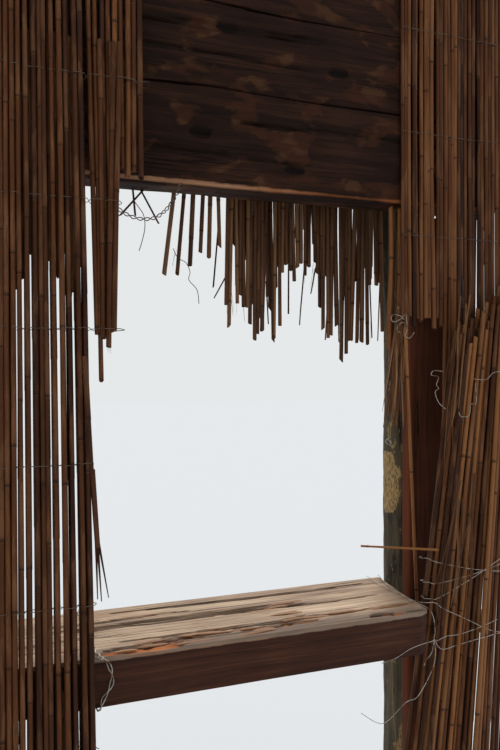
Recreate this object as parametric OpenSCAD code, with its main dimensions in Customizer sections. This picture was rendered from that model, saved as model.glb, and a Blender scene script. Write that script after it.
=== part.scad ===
/* [Bay] */
// Distance between the two posts, centre to centre
bay_pitch = 1150; // [1000:10:1400]
// Diameter of a post at its foot
post_foot_d = 92; // [80:1:120]
// Diameter of a post at its top
post_top_d = 88; // [76:1:110]
// How far the header and the plate run on past each post's centre
bay_overhang = 150; // [120:5:250]
// Thickness of the plate that lies on the posts
plate_thick = 50; // [35:1:80]
// Clearance between two pieces that seat on each other
fit = 0.3; // [0.1:0.1:0.5]

/* [Header] */
// Height of the header's lower edge above the ground
header_z = 1839; // [1750:1:1900]
// Thickness of the three header slabs
header_thick = 75; // [50:1:100]
// Height of the lower slab
lower_slab_h = 173; // [120:1:200]
// Height of the middle slab
middle_slab_h = 152; // [120:1:200]
// Height of the upper slab, which ends level with the posts
upper_slab_h = 136; // [100:1:200]
// How far the sawn edges wander to either side
slab_wander = 5; // [0:0.5:8]
// Width of the bark edge left on the lower arris
slab_wane = 9; // [4:1:20]

/* [Jambs] */
// Thickness of the jamb boards
board_thick = 30; // [20:1:40]
// Width of the jamb boards
board_width = 104; // [80:1:140]
// How far a board stands inside its post's centre line
board_reach = 39; // [25:1:60]

/* [Sill] */
// Height of the sill's top above the ground
sill_top_z = 1100; // [1000:1:1200]
// Thickness of the sill beam
sill_thick = 76; // [60:1:100]
// Depth of the sill beam, from the wall into the room
sill_depth = 214; // [180:1:230]
// How far the sill beam runs on past the left post's centre
sill_run_left = 110; // [90:1:150]
// Distance from the sill's right end, at its front, to the right post's centre
sill_end_gap = 116; // [100:1:160]
// How much longer the sill is at its back than at its front
sill_end_skew = 26; // [0:1:30]
// Diameter of the rail under the sill
rail_d = 50; // [40:1:56]
// Depth of the flat that is hewn along the rail's top
rail_flat = 5; // [3:0.5:8]
// Thickness of the beam on the ground
threshold_thick = 75; // [50:1:100]

/* [Reeds] */
// Diameter of the thinnest reed
reed_thin_d = 7.2; // [6:0.1:7.8]
// Diameter of the thickest reed
reed_thick_d = 9.6; // [8.2:0.1:11]
// Diameter of the binding wire
wire_d = 1.2; // [1:0.1:1.6]
// Widest slit that is left between two neighbouring reeds
reed_slit = 4.5; // [2:0.1:6]
// Share of the left mat's reeds that stand a slit apart
open_share = 0.5; // [0.1:0.05:0.9]
// The same share in the closer mats: the skirt and the outer mat
close_share = 0.2; // [0.1:0.05:0.9]
// The same share in the right mat, which is the closest
tight_share = 0.06; // [0.02:0.01:0.3]
// Distance from one wire row to the next
row_pitch = 200; // [150:5:250]
// Section of the clamping laths, width
lath_width = 40; // [30:1:50]
// Section of the clamping laths, thickness
lath_thick = 18; // [12:1:25]

/* [Left mat] */
// Left edge of the mat, from the left post's centre
left_mat_start = -50; // [-100:1:-20]
// Width of the part whose reeds run down past the sill
left_mat_width = 505; // [400:5:560]
// Width of the part whose reeds are broken off short
left_mat_short_width = 101; // [80:1:130]
// Width of the outermost stubs in that part
left_mat_stub_width = 50; // [20:1:60]
// Height at which the broken reeds end
left_mat_short_z = 1560; // [1500:5:1650]
// Height at which the stubs end
left_mat_stub_z = 1815; // [1790:5:1850]
// Height of the mat's lower edge
left_mat_low_z = 850; // [780:5:950]
// How far the reeds' upper ends lie below the plate's top
mat_top_drop = 10; // [8:1:20]
// How far apart the reeds' cut lower ends lie
mat_ragged = 60; // [20:5:90]

/* [Right mat] */
// Left edge of the mat, before the right post's centre
right_mat_lead = 90; // [70:1:120]
// Width of the part that ends above the jamb board's middle
right_mat_short_width = 100; // [60:5:110]
// Height at which the short part ends
right_mat_short_z = 1612; // [1500:1:1700]
// Height at which the long part ends
right_mat_long_z = 1370; // [1250:1:1450]

/* [Sheaf] */
// Number of reeds side by side in the standing sheaf
sheaf_count = 12; // [8:1:15]
// Number of layers in the sheaf
sheaf_layers = 4; // [2:1:5]
// Height of the first reeds' tops
sheaf_top_z = 1600; // [1500:5:1620]
// How much higher the last reeds' tops are
sheaf_rise = 110; // [60:5:140]
// How far apart the tops of neighbours lie
sheaf_ragged = 55; // [20:5:70]
// Distance from the right post's centre to the sheaf's first reed at sill height
sheaf_lead = 76; // [60:1:82]
// Width of the sheaf at sill height
sheaf_width = 150; // [140:1:200]
// Sideways lean of the first reed, per unit of height
sheaf_first_lean = 0.20; // [0.15:0.01:0.25]
// Sideways lean of the last reed, per unit of height
sheaf_last_lean = 0.13; // [0.08:0.01:0.15]

/* [Eaves mat] */
// Height of the trimmed edge of the outer mat
eaves_trim_z = 1856; // [1845:1:1900]
// Distance from the left edge of the fringe to the right post's centre
fringe_lead = 501; // [450:1:560]
// Distance from the right edge of the fringe to the right post's centre
fringe_tail = 8; // [0:1:40]
// Width at the fringe's left edge where only every second reed hangs down
fringe_thin_width = 115; // [60:5:160]
// How far the fringe's tips wander to either side
fringe_wander = 22; // [0:1:30]

/* [Hidden] */

$fn = 32;
far = 4000;
wire_r = wire_d / 2;
wire_seat = 0.1;
wire_out = wire_r + wire_seat;
bar_start = -bay_overhang;
bar_length = bay_pitch + 2 * bay_overhang;
post_height = header_z + lower_slab_h + middle_slab_h + upper_slab_h;

// A post's radius at a height, and the wall faces that follow from it
function post_radius(z) = (post_foot_d + (post_top_d - post_foot_d) * z / post_height) / 2;
board_back_y = -post_radius(0) - fit;
board_front_y = board_back_y - board_thick;
header_back_y = -post_radius(header_z) - fit;
header_front_y = header_back_y - header_thick;

// The sill's faces, and the rail under it
sill_back_y = board_back_y;
sill_front_y = sill_back_y - sill_depth;
sill_low_z = sill_top_z - sill_thick;
sill_end_x = bay_pitch - sill_end_gap;
rail_y = board_front_y - fit - rail_d / 2;
rail_z = sill_low_z - rail_d / 2 + rail_flat;

// Sizes that vary from reed to reed, drawn once for each row: radii, and the gaps between
// neighbours, of which a share opens into slits
function reed_radii(count, seed) = rands(reed_thin_d / 2, reed_thick_d / 2, count, seed);
function reed_gaps(count, seed, share) = [
    for (g = rands(0, 1, count, seed)) fit + reed_slit * max(0, (g - 1 + share) / share)
];
// Centres of reeds laid side by side from an edge: each one clears the last by its gap
function reed_places(radii, gaps, edge, i = 0) =
    i >= len(radii) ? [] : concat([edge + radii[i]],
        reed_places(radii, gaps, edge + 2 * radii[i] + gaps[i], i + 1));
// The places that lie before an end
function places_before(places, end) = [for (p = places) if (p < end) p];

// The left mat leans from the header's face to the front of the standing skirt
mat_top_z = post_height + plate_thick - mat_top_drop;
mat_lath_drop = lath_width + 10;
skirt_top_z = sill_top_z - 15;
skirt_front_y = sill_front_y - fit - reed_thick_d;
mat_lean = atan2(header_front_y - skirt_front_y, mat_top_z - skirt_top_z);
mat_long = (mat_top_z - left_mat_low_z) / cos(mat_lean);
mat_deep = 2 * reed_thick_d + fit;
left_mat_split = left_mat_start + left_mat_width;
left_mat_end = left_mat_split + left_mat_short_width;

// The right mat hangs upright, off the header by its back wires
right_mat_start = bay_pitch - right_mat_lead;
right_mat_split = right_mat_start + right_mat_short_width;
right_mat_end = bay_pitch + bay_overhang;
right_mat_back_y = header_front_y - wire_d - 2 * fit;

// The outer mat hangs on two laths
outer_lath_y = post_radius(header_z) + fit;
eaves_back_y = outer_lath_y + lath_thick + fit;
eaves_overhang = 60;
eaves_start = -eaves_overhang;
eaves_end = bay_pitch + eaves_overhang;
fringe_start = bay_pitch - fringe_lead;
fringe_end = bay_pitch - fringe_tail;

// A straight round rod from one point to another
module rod(a, b, r) {
    d = b - a;
    translate(a)
        rotate([0, acos(d[2] / norm(d)), atan2(d[1], d[0])])
            cylinder(h = norm(d), r = r);
}

// A timber along X whose cross-section is given as [y, z] points
module timber(x, length, section) {
    translate([x, 0, 0])
        rotate([90, 0, 90])
            linear_extrude(length) polygon(section);
}

// A post: a peeled log that thins towards its top
module post(x) {
    color("dimgray")
        translate([x, 0, 0])
            cylinder(h = post_height, d1 = post_foot_d, d2 = post_top_d, $fn = 64);
}
module left_post() {
    post(0);
}
module right_post() {
    post(bay_pitch);
}

// The plate lies over the posts and the header's top
module wall_plate() {
    bevel = 6;
    color("saddlebrown")
        timber(bar_start, bar_length, [
            [header_front_y, post_height], [post_top_d / 2, post_height],
            [post_top_d / 2, post_height + plate_thick - bevel],
            [post_top_d / 2 - bevel, post_height + plate_thick],
            [header_front_y + bevel, post_height + plate_thick],
            [header_front_y, post_height + plate_thick - bevel]
        ]);
}

// The line of a wandering saw cut at a height: both of its neighbours are scribed to it
function saw_cut(z, amount, seed) = [
    for (i = [0 : 36])
        let (t = i / 36, long_wave = 360 * 1.3 * t + 77 * seed, short_wave = 360 * 3.7 * t + 31 * seed)
        [bar_start + bar_length * t, z + amount * (0.6 * sin(long_wave) + 0.4 * sin(short_wave))]
];
function reversed(list) = [for (i = [len(list) - 1 : -1 : 0]) list[i]];
function raised(list, by) = [for (p = list) [p[0], p[1] + by]];

// A header slab on edge between two saw cuts. The lowest cut wanders least
lower_wander = 0.4 * slab_wander;
module header_slab(low, high) {
    translate([0, header_back_y, 0])
        rotate([90, 0, 0])
            linear_extrude(header_thick) polygon(concat(low, reversed(high)));
}
header_cuts = [
    saw_cut(header_z, lower_wander, 1),
    saw_cut(header_z + lower_slab_h, slab_wander, 2),
    saw_cut(header_z + lower_slab_h + middle_slab_h, slab_wander, 3),
    saw_cut(post_height, 0, 4)
];
module header_lower_slab() {
    color("saddlebrown")
        difference() {
            header_slab(header_cuts[0], header_cuts[1]);
            translate([bar_start - 1, header_front_y, header_z])
                rotate([-45, 0, 0])
                    translate([0, -far / 2, slab_wane / sqrt(2) - far])
                        cube([bar_length + 2, far, far]);
        }
}
module header_middle_slab() {
    color("sienna") header_slab(raised(header_cuts[1], fit), header_cuts[2]);
}
module header_upper_slab() {
    color("saddlebrown") header_slab(raised(header_cuts[2], fit), header_cuts[3]);
}

// A jamb board stands on the threshold and carries the header
module jamb_board(x) {
    low = threshold_thick;
    color("maroon")
        translate([x, board_front_y, low])
            cube([board_width, board_thick, header_z - lower_wander - low]);
}
module left_jamb_board() {
    jamb_board(board_reach - board_width);
}
module right_jamb_board() {
    jamb_board(bay_pitch - board_reach);
}

// The rail is a pole with a flat hewn along its top for the sill
module sill_rail() {
    inset = 20;
    color("peru")
        difference() {
            translate([bar_start + inset, rail_y, rail_z])
                rotate([0, 90, 0]) cylinder(h = bar_length - 2 * inset, d = rail_d);
            translate([bar_start, rail_y - rail_d, sill_low_z])
                cube([bar_length, 2 * rail_d, rail_d]);
        }
}

// The sill: a heavy sawn beam with a skewed, broken right end, let around the left jamb board.
// Its drying checks are V-shaped: share of the depth, shares of the length where each one starts
// and ends, and the angle at which it runs off the grain
module sill_beam() {
    wane = 7;
    check_w = 3;
    check_d = 6;
    chip = [18, 10];
    checks = [[0.35, 0.36, 0.80, 1.5], [0.55, 0.55, 0.88, -1], [0.72, 0.25, 0.66, 0.8]];
    length = sill_end_x + sill_run_left;
    plan = [
        [-sill_run_left, sill_front_y], [sill_end_x - chip[0], sill_front_y],
        [sill_end_x, sill_front_y + chip[1]], [sill_end_x + sill_end_skew, sill_back_y],
        [-sill_run_left, sill_back_y]
    ];
    color("rosybrown")
        difference() {
            translate([0, 0, sill_low_z]) linear_extrude(sill_thick) polygon(plan);
            translate([board_reach - board_width - fit, board_front_y - fit, sill_low_z - 1])
                cube([board_width + 2 * fit, board_thick + 2 * fit + 1, sill_thick + 2]);
            translate([-sill_run_left - 1, sill_front_y, sill_top_z])
                rotate([45, 0, 0]) cube([far, wane, wane]);
            for (c = checks)
                translate([c[1] * length - sill_run_left, sill_front_y + c[0] * sill_depth, sill_top_z])
                    rotate([0, 0, c[3]])
                        rotate([0, 90, 0])
                            linear_extrude((c[2] - c[1]) * length)
                                polygon([[-1, -check_w], [check_d, 0], [-1, check_w]]);
        }
}

// The beam on the ground closes the wall's foot between the posts and the skirt
module threshold_beam() {
    color("saddlebrown")
        translate([bar_start, sill_front_y, 0])
            cube([bar_length, sill_back_y - sill_front_y, threshold_thick]);
}

// Moves its children from the mat's own plane, where Z runs up the reeds, into its leaning place
module on_left_mat() {
    translate([0, header_front_y, mat_top_z])
        rotate([-mat_lean, 0, 0])
            children();
}

// A layer of upright reeds against a back face, each cut off at its own lower end
module reed_layer(places, radii, back, lows, high) {
    for (i = [0 : len(places) - 1])
        translate([places[i], back - radii[i], lows[i]])
            cylinder(h = high - lows[i], r = radii[i]);
}

most = 150;
left_radii = reed_radii(most, 11);
left_places = places_before(
    reed_places(left_radii, reed_gaps(most, 12, open_share), left_mat_start),
    left_mat_split - reed_thick_d / 2);
left_count = len(left_places);
left_front_radii = reed_radii(most, 13);

// The front layer of the left mat lies before the back layer, and the slits of both line up
module left_mat_front_reeds() {
    radii = [for (i = [0 : left_count - 1]) min(left_front_radii[i], left_radii[i])];
    lows = [for (d = rands(0, mat_ragged, left_count, 14)) d - mat_long];
    color("sienna")
        on_left_mat()
            for (i = [0 : left_count - 1])
                translate([left_places[i], radii[i] - fit - mat_deep, lows[i]])
                    cylinder(h = -lows[i], r = radii[i]);
}
module left_mat_back_reeds() {
    lows = [for (d = rands(0, mat_ragged, left_count, 15)) d - mat_long];
    color("chocolate")
        on_left_mat()
            reed_layer(left_places, left_radii, -fit, lows, 0);
}
// The mat's right edge is broken off above the sill: its reeds draw together towards their ends, the
// second one hangs lower, and the outermost are stubs
short_radii = reed_radii(most, 16);
short_edge = left_mat_split + reed_slit;
short_tops = places_before(
    reed_places(short_radii, reed_gaps(most, 17, 1), short_edge), left_mat_end - reed_thick_d / 2);
short_ends = reed_places(short_radii, [for (r = short_radii) fit], short_edge);
module left_mat_short_reeds() {
    hang = (mat_top_z - left_mat_short_z) / cos(mat_lean);
    stub = (mat_top_z - left_mat_stub_z) / cos(mat_lean);
    extra = 75;
    ends = [for (d = rands(0, 12, len(short_tops), 18)) hang - d];
    color("peru")
        on_left_mat()
            for (i = [0 : len(short_tops) - 1])
                let (
                    y = -fit - short_radii[i],
                    length = short_tops[i] > left_mat_end - left_mat_stub_width ? stub - 8 * (i % 2)
                        : ends[i] + (i == 1 ? extra : 0),
                    x = short_tops[i] + (short_ends[i] - short_tops[i]) * min(1, length / hang))
                rod([short_tops[i], y, 0], [x, y, -length], short_radii[i]);
}

// Heights of the wire rows, counted down from the top row
top_row_z = header_z + lower_slab_h + middle_slab_h + 16;
row_margin = 20;
function rows_between(low, high) = [for (z = [top_row_z : -row_pitch : low]) if (z < high) z];

// Each row is a pair of wires, one before and one behind the reeds
module left_mat_wires() {
    color("silver")
        on_left_mat()
            for (z = rows_between(left_mat_low_z + 2 * row_margin, mat_top_z - row_margin)) {
                v = (z - mat_top_z) / cos(mat_lean);
                reach = z > left_mat_stub_z ? left_mat_end
                    : z > left_mat_short_z ? left_mat_end - left_mat_stub_width : left_mat_split;
                for (y = [-fit + wire_out, -fit - mat_deep - wire_out])
                    rod([left_mat_start, y, v], [reach, y, v], wire_r, $fn = 16);
            }
}
module left_mat_lath() {
    color("burlywood")
        on_left_mat()
            translate([left_mat_start, -2 * fit - mat_deep - lath_thick, -mat_lath_drop])
                cube([left_mat_end - left_mat_start, lath_thick, lath_width]);
}

// The skirt: reeds that stand on the ground before the sill and the threshold
skirt_radii = reed_radii(most, 21);
skirt_places = places_before(
    reed_places(skirt_radii, reed_gaps(most, 22, close_share), left_mat_start),
    left_mat_split - reed_thick_d);
module left_skirt_reeds() {
    tops = [for (d = rands(0, 45, len(skirt_places), 23)) skirt_top_z - d];
    color("peru")
        for (i = [0 : len(skirt_places) - 1])
            translate([skirt_places[i], sill_front_y - fit - skirt_radii[i], 0])
                cylinder(h = tops[i], r = skirt_radii[i]);
}
module left_skirt_wires() {
    color("silver")
        for (z = rows_between(threshold_thick + row_margin, sill_low_z - row_margin / 2))
            for (y = [sill_front_y - fit + wire_out, skirt_front_y - wire_out])
                rod([left_mat_start, y, z], [left_mat_split, y, z], wire_r, $fn = 16);
}
module left_skirt_lath() {
    color("burlywood")
        translate([left_mat_start, skirt_front_y - fit - lath_thick, 15])
            cube([left_mat_width, lath_thick, lath_width]);
}

// The right mat hangs before the header, in a short part and a long one
right_radii = reed_radii(most, 31);
right_places = places_before(
    reed_places(right_radii, reed_gaps(most, 32, tight_share), right_mat_start), right_mat_end);
right_short_count = len(places_before(right_places, right_mat_split));
module right_mat_reeds(numbers, lows) {
    reed_layer([for (i = numbers) right_places[i]], [for (i = numbers) right_radii[i]],
        right_mat_back_y, lows, mat_top_z);
}
module right_mat_short_reeds() {
    numbers = [for (i = [0 : right_short_count - 1]) i];
    color("sienna")
        right_mat_reeds(numbers, [for (d = rands(-12, 12, len(numbers), 33)) right_mat_short_z + d]);
}
module right_mat_long_reeds() {
    numbers = [for (i = [right_short_count : len(right_places) - 1]) i];
    color("chocolate")
        right_mat_reeds(numbers, [
            for (d = rands(-mat_ragged, mat_ragged, len(numbers), 34)) right_mat_long_z + d
        ]);
}
module right_mat_wires() {
    color("silver")
        for (z = rows_between(right_mat_long_z + mat_ragged + row_margin, mat_top_z - row_margin)) {
            start = z > right_mat_short_z + row_margin ? right_mat_start : right_mat_split;
            for (y = [right_mat_back_y + wire_out, right_mat_back_y - reed_thick_d - wire_out])
                rod([start, y, z], [right_mat_end, y, z], wire_r, $fn = 16);
        }
}
module right_mat_lath() {
    color("burlywood")
        translate([right_mat_start, right_mat_back_y - reed_thick_d - fit - lath_thick,
                   mat_top_z - mat_lath_drop])
            cube([right_mat_end - right_mat_start, lath_thick, lath_width]);
}

// The sheaf stands on the ground, leans over the threshold against the right mat, and fans out
// towards its foot. Its own plane starts at the threshold's upper edge.
sheaf_foot_z = 2;
sheaf_r = (reed_thin_d + reed_thick_d) / 4;
sheaf_step = 2 * sheaf_r + fit;
sheaf_lean_y = atan2(right_mat_back_y - reed_thick_d - fit - sill_front_y,
    sheaf_top_z + sheaf_rise - threshold_thick);
module on_sheaf() {
    translate([0, sill_front_y, threshold_thick])
        rotate([-sheaf_lean_y, 0, 0])
            children();
}
function sheaf_x(t, z) = bay_pitch - sheaf_lead + sheaf_width * t
    + (sheaf_first_lean + (sheaf_last_lean - sheaf_first_lean) * t) * (z - sill_top_z);
// The axis of a sheaf reed at a height, in the sheaf's plane
function sheaf_point(t, layer, z) =
    [sheaf_x(t, z), -fit - sheaf_r - layer * sheaf_step, z - threshold_thick];
module right_sheaf_reeds() {
    color("peru")
        on_sheaf()
            for (layer = [0 : sheaf_layers - 1])
                for (i = [0 : sheaf_count - 1]) {
                    t = (i + layer / sheaf_layers) / sheaf_count;
                    top = sheaf_top_z + sheaf_rise * t - sheaf_ragged * ((i * 7 + layer * 3) % 5) / 4;
                    rod(sheaf_point(t, layer, sheaf_foot_z), sheaf_point(t, layer, top), sheaf_r);
                }
}
// A wire ring that holds the sheaf together
module right_sheaf_tie() {
    z = sill_top_z + 40;
    half = (sheaf_layers * sheaf_step + fit) / 2 + wire_r;
    mid = -half + wire_r;
    left = sheaf_x(0, z);
    right = sheaf_x(1, z) - sheaf_r;
    color("silver")
        on_sheaf()
            translate([0, mid, z - threshold_thick]) {
                for (side = [-1, 1])
                    rod([left, side * half, 0], [right, side * half, 0], wire_r, $fn = 16);
                tie_bend(left, 90, half);
                tie_bend(right, -90, half);
            }
}
module tie_bend(x, turn, reach) {
    translate([x, 0, 0])
        rotate([0, 0, turn])
            rotate_extrude(angle = 180) translate([reach, 0]) circle(wire_r, $fn = 16);
}

// Two laths on the posts' outer side carry the outer mat and stand out past its edges
outer_lath_reach = 30;
module outer_lath(z) {
    color("burlywood")
        translate([-eaves_overhang - outer_lath_reach, outer_lath_y, z])
            cube([bay_pitch + 2 * (eaves_overhang + outer_lath_reach), lath_thick, lath_width]);
}
module outer_upper_lath() {
    outer_lath(post_height - 2 * lath_width);
}
module outer_lower_lath() {
    outer_lath(eaves_trim_z + 28);
}

eaves_radii = reed_radii(most, 41);
eaves_places = places_before(
    reed_places(eaves_radii, reed_gaps(most, 42, close_share), eaves_start), eaves_end);
// The fringe's tufts: where each one starts, from the fringe's left edge, and how far it hangs below
// the trimmed edge
tufts = [[0, 120], [115, 215], [174, 255], [245, 120], [338, 250], [381, 282], [446, 150], [471, 262]];
function tuft_drop(x, i = 0) =
    i + 1 < len(tufts) && x >= fringe_start + tufts[i + 1][0] ? tuft_drop(x, i + 1) : tufts[i][1];
function hangs_down(i) =
    let (x = eaves_places[i])
    x > fringe_start && x < fringe_end && (x > fringe_start + fringe_thin_width || i % 2 == 0);
module eaves_reeds(fringe) {
    wander = rands(-fringe_wander, fringe_wander, most, 43);
    for (i = [0 : len(eaves_places) - 1])
        if (hangs_down(i) == fringe)
            let (
                x = eaves_places[i],
                r = eaves_radii[i],
                low = eaves_trim_z - (fringe ? tuft_drop(x) - wander[i] : 0))
            translate([x, eaves_back_y + r, low])
                cylinder(h = mat_top_z - low, r = r);
}
module eaves_mat_reeds() {
    color("tan") eaves_reeds(false);
}
// Behind the fringe's close part lies a second row, each reed between two of the first and not
// thicker than either
backing = [
    for (i = [0 : len(eaves_places) - 2])
        if (hangs_down(i) && hangs_down(i + 1))
            [(eaves_places[i] + eaves_places[i + 1]) / 2, min(eaves_radii[i], eaves_radii[i + 1])]
];
backing_y = eaves_back_y + reed_thick_d + 2 * wire_out;
backing_d = 2 * max([for (b = backing) b[1]]);
module fringe_backing() {
    shares = rands(0.35, 0.95, len(backing), 44);
    for (i = [0 : len(backing) - 1])
        let (low = eaves_trim_z - shares[i] * tuft_drop(backing[i][0]))
        translate([backing[i][0], backing_y + backing[i][1], low])
            cylinder(h = mat_top_z - low, r = backing[i][1]);
}
module eaves_fringe_reeds() {
    color("sienna") {
        eaves_reeds(true);
        fringe_backing();
    }
}
module eaves_mat_wires() {
    color("silver")
        for (z = [eaves_trim_z + 94, eaves_trim_z + 94 + row_pitch]) {
            for (y = [eaves_back_y - wire_out, eaves_back_y + reed_thick_d + wire_out])
                rod([eaves_start, y, z], [eaves_end, y, z], wire_r, $fn = 16);
            rod([backing[0][0] - reed_thin_d, backing_y + backing_d + wire_out, z],
                [fringe_end, backing_y + backing_d + wire_out, z], wire_r, $fn = 16);
        }
}

// Reeds that have worked loose beside the right post: three hang behind the short part of the
// mat, and one stands on the rail and leans past the mat's lower edge
module loose_post_reeds() {
    r = 3.2;
    drops = [172, 202, 112];
    step = 9;
    hang_y = right_mat_back_y + fit + r;
    hang_top = header_z - 19;
    hang_slope = 0.085;
    lean_y = right_mat_back_y - reed_thick_d - fit - 1.5 * r;
    color("tan") {
        for (i = [0 : 2])
            let (x = right_mat_start + step * (i + 2), low = right_mat_short_z - drops[i])
            rod([x - hang_slope * (hang_top - low), hang_y, low], [x, hang_y, hang_top], r);
        rod([bay_pitch - board_reach + 2, rail_y, sill_low_z + fit],
            [right_mat_start + 4, lean_y, right_mat_short_z - 15], r);
    }
}

// Wire lashed around the sill and its rail
module sill_lashing() {
    x = left_mat_split + 5;
    out = wire_r + 2 * wire_seat;
    rail_out = (rail_d / 2 + out) / cos(15);
    loop = concat(
        [[x, sill_front_y - out, sill_top_z + out], [x, sill_back_y + out, sill_top_z + out],
         [x, sill_back_y + out, sill_low_z - out]],
        [for (a = [-45, -75, -105]) [x, rail_y + rail_out * cos(a), rail_z + rail_out * sin(a)]],
        [[x, sill_front_y - out, sill_low_z - out]]);
    color("silver")
        for (i = [0 : len(loop) - 1]) {
            rod(loop[i], loop[(i + 1) % len(loop)], wire_r, $fn = 16);
            translate(loop[i]) sphere(1.15 * wire_r, $fn = 16);
        }
}

// A twist of wire that hangs in a half circle under the header's left end
module header_wire_loop() {
    r = 84;
    raised = 2 * slab_wane;
    aside = 16;
    color("silver")
        translate([left_mat_end + aside, header_front_y - wire_r - 2 * wire_seat, header_z + raised])
            rotate([90, 0, 0])
                rotate([0, 0, 180])
                    rotate_extrude(angle = 180) translate([r, 0]) circle(wire_r, $fn = 16);
}

left_post();
right_post();
wall_plate();
header_lower_slab();
header_middle_slab();
header_upper_slab();
left_jamb_board();
right_jamb_board();
sill_rail();
sill_beam();
threshold_beam();
left_mat_front_reeds();
left_mat_back_reeds();
left_mat_short_reeds();
left_mat_wires();
left_mat_lath();
left_skirt_reeds();
left_skirt_wires();
left_skirt_lath();
right_mat_short_reeds();
right_mat_long_reeds();
right_mat_wires();
right_mat_lath();
right_sheaf_reeds();
right_sheaf_tie();
outer_upper_lath();
outer_lower_lath();
eaves_mat_reeds();
eaves_fringe_reeds();
eaves_mat_wires();
loose_post_reeds();
sill_lashing();
header_wire_loop();
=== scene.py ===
"""Looks of a reed-screened lookout bay: dark hewn timbers round an unglazed opening, and wired reed mats."""

from __future__ import annotations

import logging
import math
import random
from collections.abc import Callable, Sequence
from dataclasses import dataclass, field
from enum import Enum

import bpy
import numpy
from mathutils import Matrix, Vector


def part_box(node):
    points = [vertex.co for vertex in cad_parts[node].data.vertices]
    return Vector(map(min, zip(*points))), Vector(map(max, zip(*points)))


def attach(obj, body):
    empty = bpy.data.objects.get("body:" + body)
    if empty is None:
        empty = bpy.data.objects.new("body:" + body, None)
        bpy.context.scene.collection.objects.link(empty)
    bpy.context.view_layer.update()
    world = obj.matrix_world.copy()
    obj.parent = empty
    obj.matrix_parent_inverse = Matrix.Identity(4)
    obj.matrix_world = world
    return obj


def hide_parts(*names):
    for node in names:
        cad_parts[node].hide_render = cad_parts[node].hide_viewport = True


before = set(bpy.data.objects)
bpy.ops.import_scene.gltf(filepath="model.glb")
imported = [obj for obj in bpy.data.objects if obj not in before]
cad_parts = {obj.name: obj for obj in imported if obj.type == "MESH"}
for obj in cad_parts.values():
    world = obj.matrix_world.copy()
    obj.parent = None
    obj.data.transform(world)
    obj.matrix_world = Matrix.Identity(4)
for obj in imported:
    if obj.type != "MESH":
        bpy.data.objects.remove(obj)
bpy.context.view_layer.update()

LOG = logging.getLogger("lookout_bay")
ROOT = "root"
MILLIMETRE = 0.001
UPWARD = 0.9

Colour = tuple[float, float, float]
Place = tuple[float, float, float]
Socket = bpy.types.NodeSocket


class Axis(Enum):
    """The row axis that a timber's grain runs along."""

    X = 0
    Y = 1
    Z = 2


class Face(Enum):
    """The face of a timber that shows, by the way it looks."""

    INNER = (0.0, -1.0, 0.0)
    OUTER = (0.0, 1.0, 0.0)
    TOP = (0.0, 0.0, 1.0)


class Slot(Enum):
    """The record's material slots."""

    POST = "post_wood"
    HEADER = "header_wood"
    BOARD = "board_wood"
    SILL = "sill_wood"
    LATH = "lath_wood"
    REED = "reed"
    WIRE = "wire"


def select_only(*pieces: bpy.types.Object) -> None:
    """Deselects everything, then selects these pieces and makes the first one active.

    Args:
        pieces: the objects that the next operator acts on.
    """
    if bpy.context.object and bpy.context.object.mode != "OBJECT":
        bpy.ops.object.mode_set(mode="OBJECT")
    bpy.ops.object.select_all(action="DESELECT")
    for piece in pieces:
        piece.select_set(True)
    bpy.context.view_layer.objects.active = pieces[0]


def edit(piece: bpy.types.Object, kind: str = "VERT") -> None:
    """Opens one piece in edit mode with nothing selected.

    Args:
        piece: the mesh object to edit.
        kind: what is selected there, VERT, EDGE or FACE.
    """
    select_only(piece)
    bpy.ops.object.mode_set(mode="EDIT")
    bpy.ops.mesh.select_mode(type=kind)
    bpy.ops.mesh.select_all(action="DESELECT")


def pick_faces(piece: bpy.types.Object, wanted: Callable[[bpy.types.MeshPolygon], bool]) -> None:
    """Opens one piece in edit mode with only some of its faces selected.

    Args:
        piece: the mesh object to edit.
        wanted: says of a face whether it is selected.
    """
    edit(piece, "FACE")
    bpy.ops.object.mode_set(mode="OBJECT")
    for face in piece.data.polygons:
        face.select = wanted(face)
    bpy.ops.object.mode_set(mode="EDIT")


def apply_modifiers(piece: bpy.types.Object) -> None:
    """Applies every modifier of a piece, first to last.

    Args:
        piece: the mesh object whose modifiers are applied.
    """
    select_only(piece)
    for modifier in list(piece.modifiers):
        bpy.ops.object.modifier_apply(modifier=modifier.name)


def dress(name: str, parts: list[bpy.types.Object], degrees: float, material: bpy.types.Material,
          slot: Slot, *nodes: str) -> None:
    """Joins parts into one piece on the bay, shades it, and lets it stand for its CAD nodes.

    Args:
        name: the piece's name.
        parts: its meshes.
        degrees: the angle from which an edge stays sharp.
        material: its only material.
        slot: not used.
        nodes: the CAD nodes that the piece stands for.
    """
    select_only(*parts)
    if len(parts) > 1:
        bpy.ops.object.join()
    piece = bpy.context.object
    piece.name = name
    bpy.ops.object.shade_smooth_by_angle(angle=math.radians(degrees))
    piece.data.materials.clear()
    piece.data.materials.append(material)
    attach(piece, ROOT)
    if nodes:
        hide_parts(*nodes)
    LOG.info("%s: %d faces", name, len(piece.data.polygons))


def copy_of(mesh: bpy.types.Mesh, name: str) -> bpy.types.Object:
    """Adds an object that has its own copy of a mesh.

    Args:
        mesh: the mesh to copy.
        name: the object's name.

    Returns:
        The new object.
    """
    piece = bpy.data.objects.new(name, mesh.copy())
    bpy.context.collection.objects.link(piece)
    return piece


def mark(piece: bpy.types.Object, name: str, values: float | Sequence[float]) -> None:
    """Writes a number on each vertex of a piece.

    Args:
        piece: the mesh object.
        name: the attribute's name.
        values: a number for each vertex, or one for all of them.
    """
    if isinstance(values, float):
        values = [values] * len(piece.data.vertices)
    piece.data.attributes.new(name, "FLOAT", "POINT").data.foreach_set("value", values)


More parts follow.
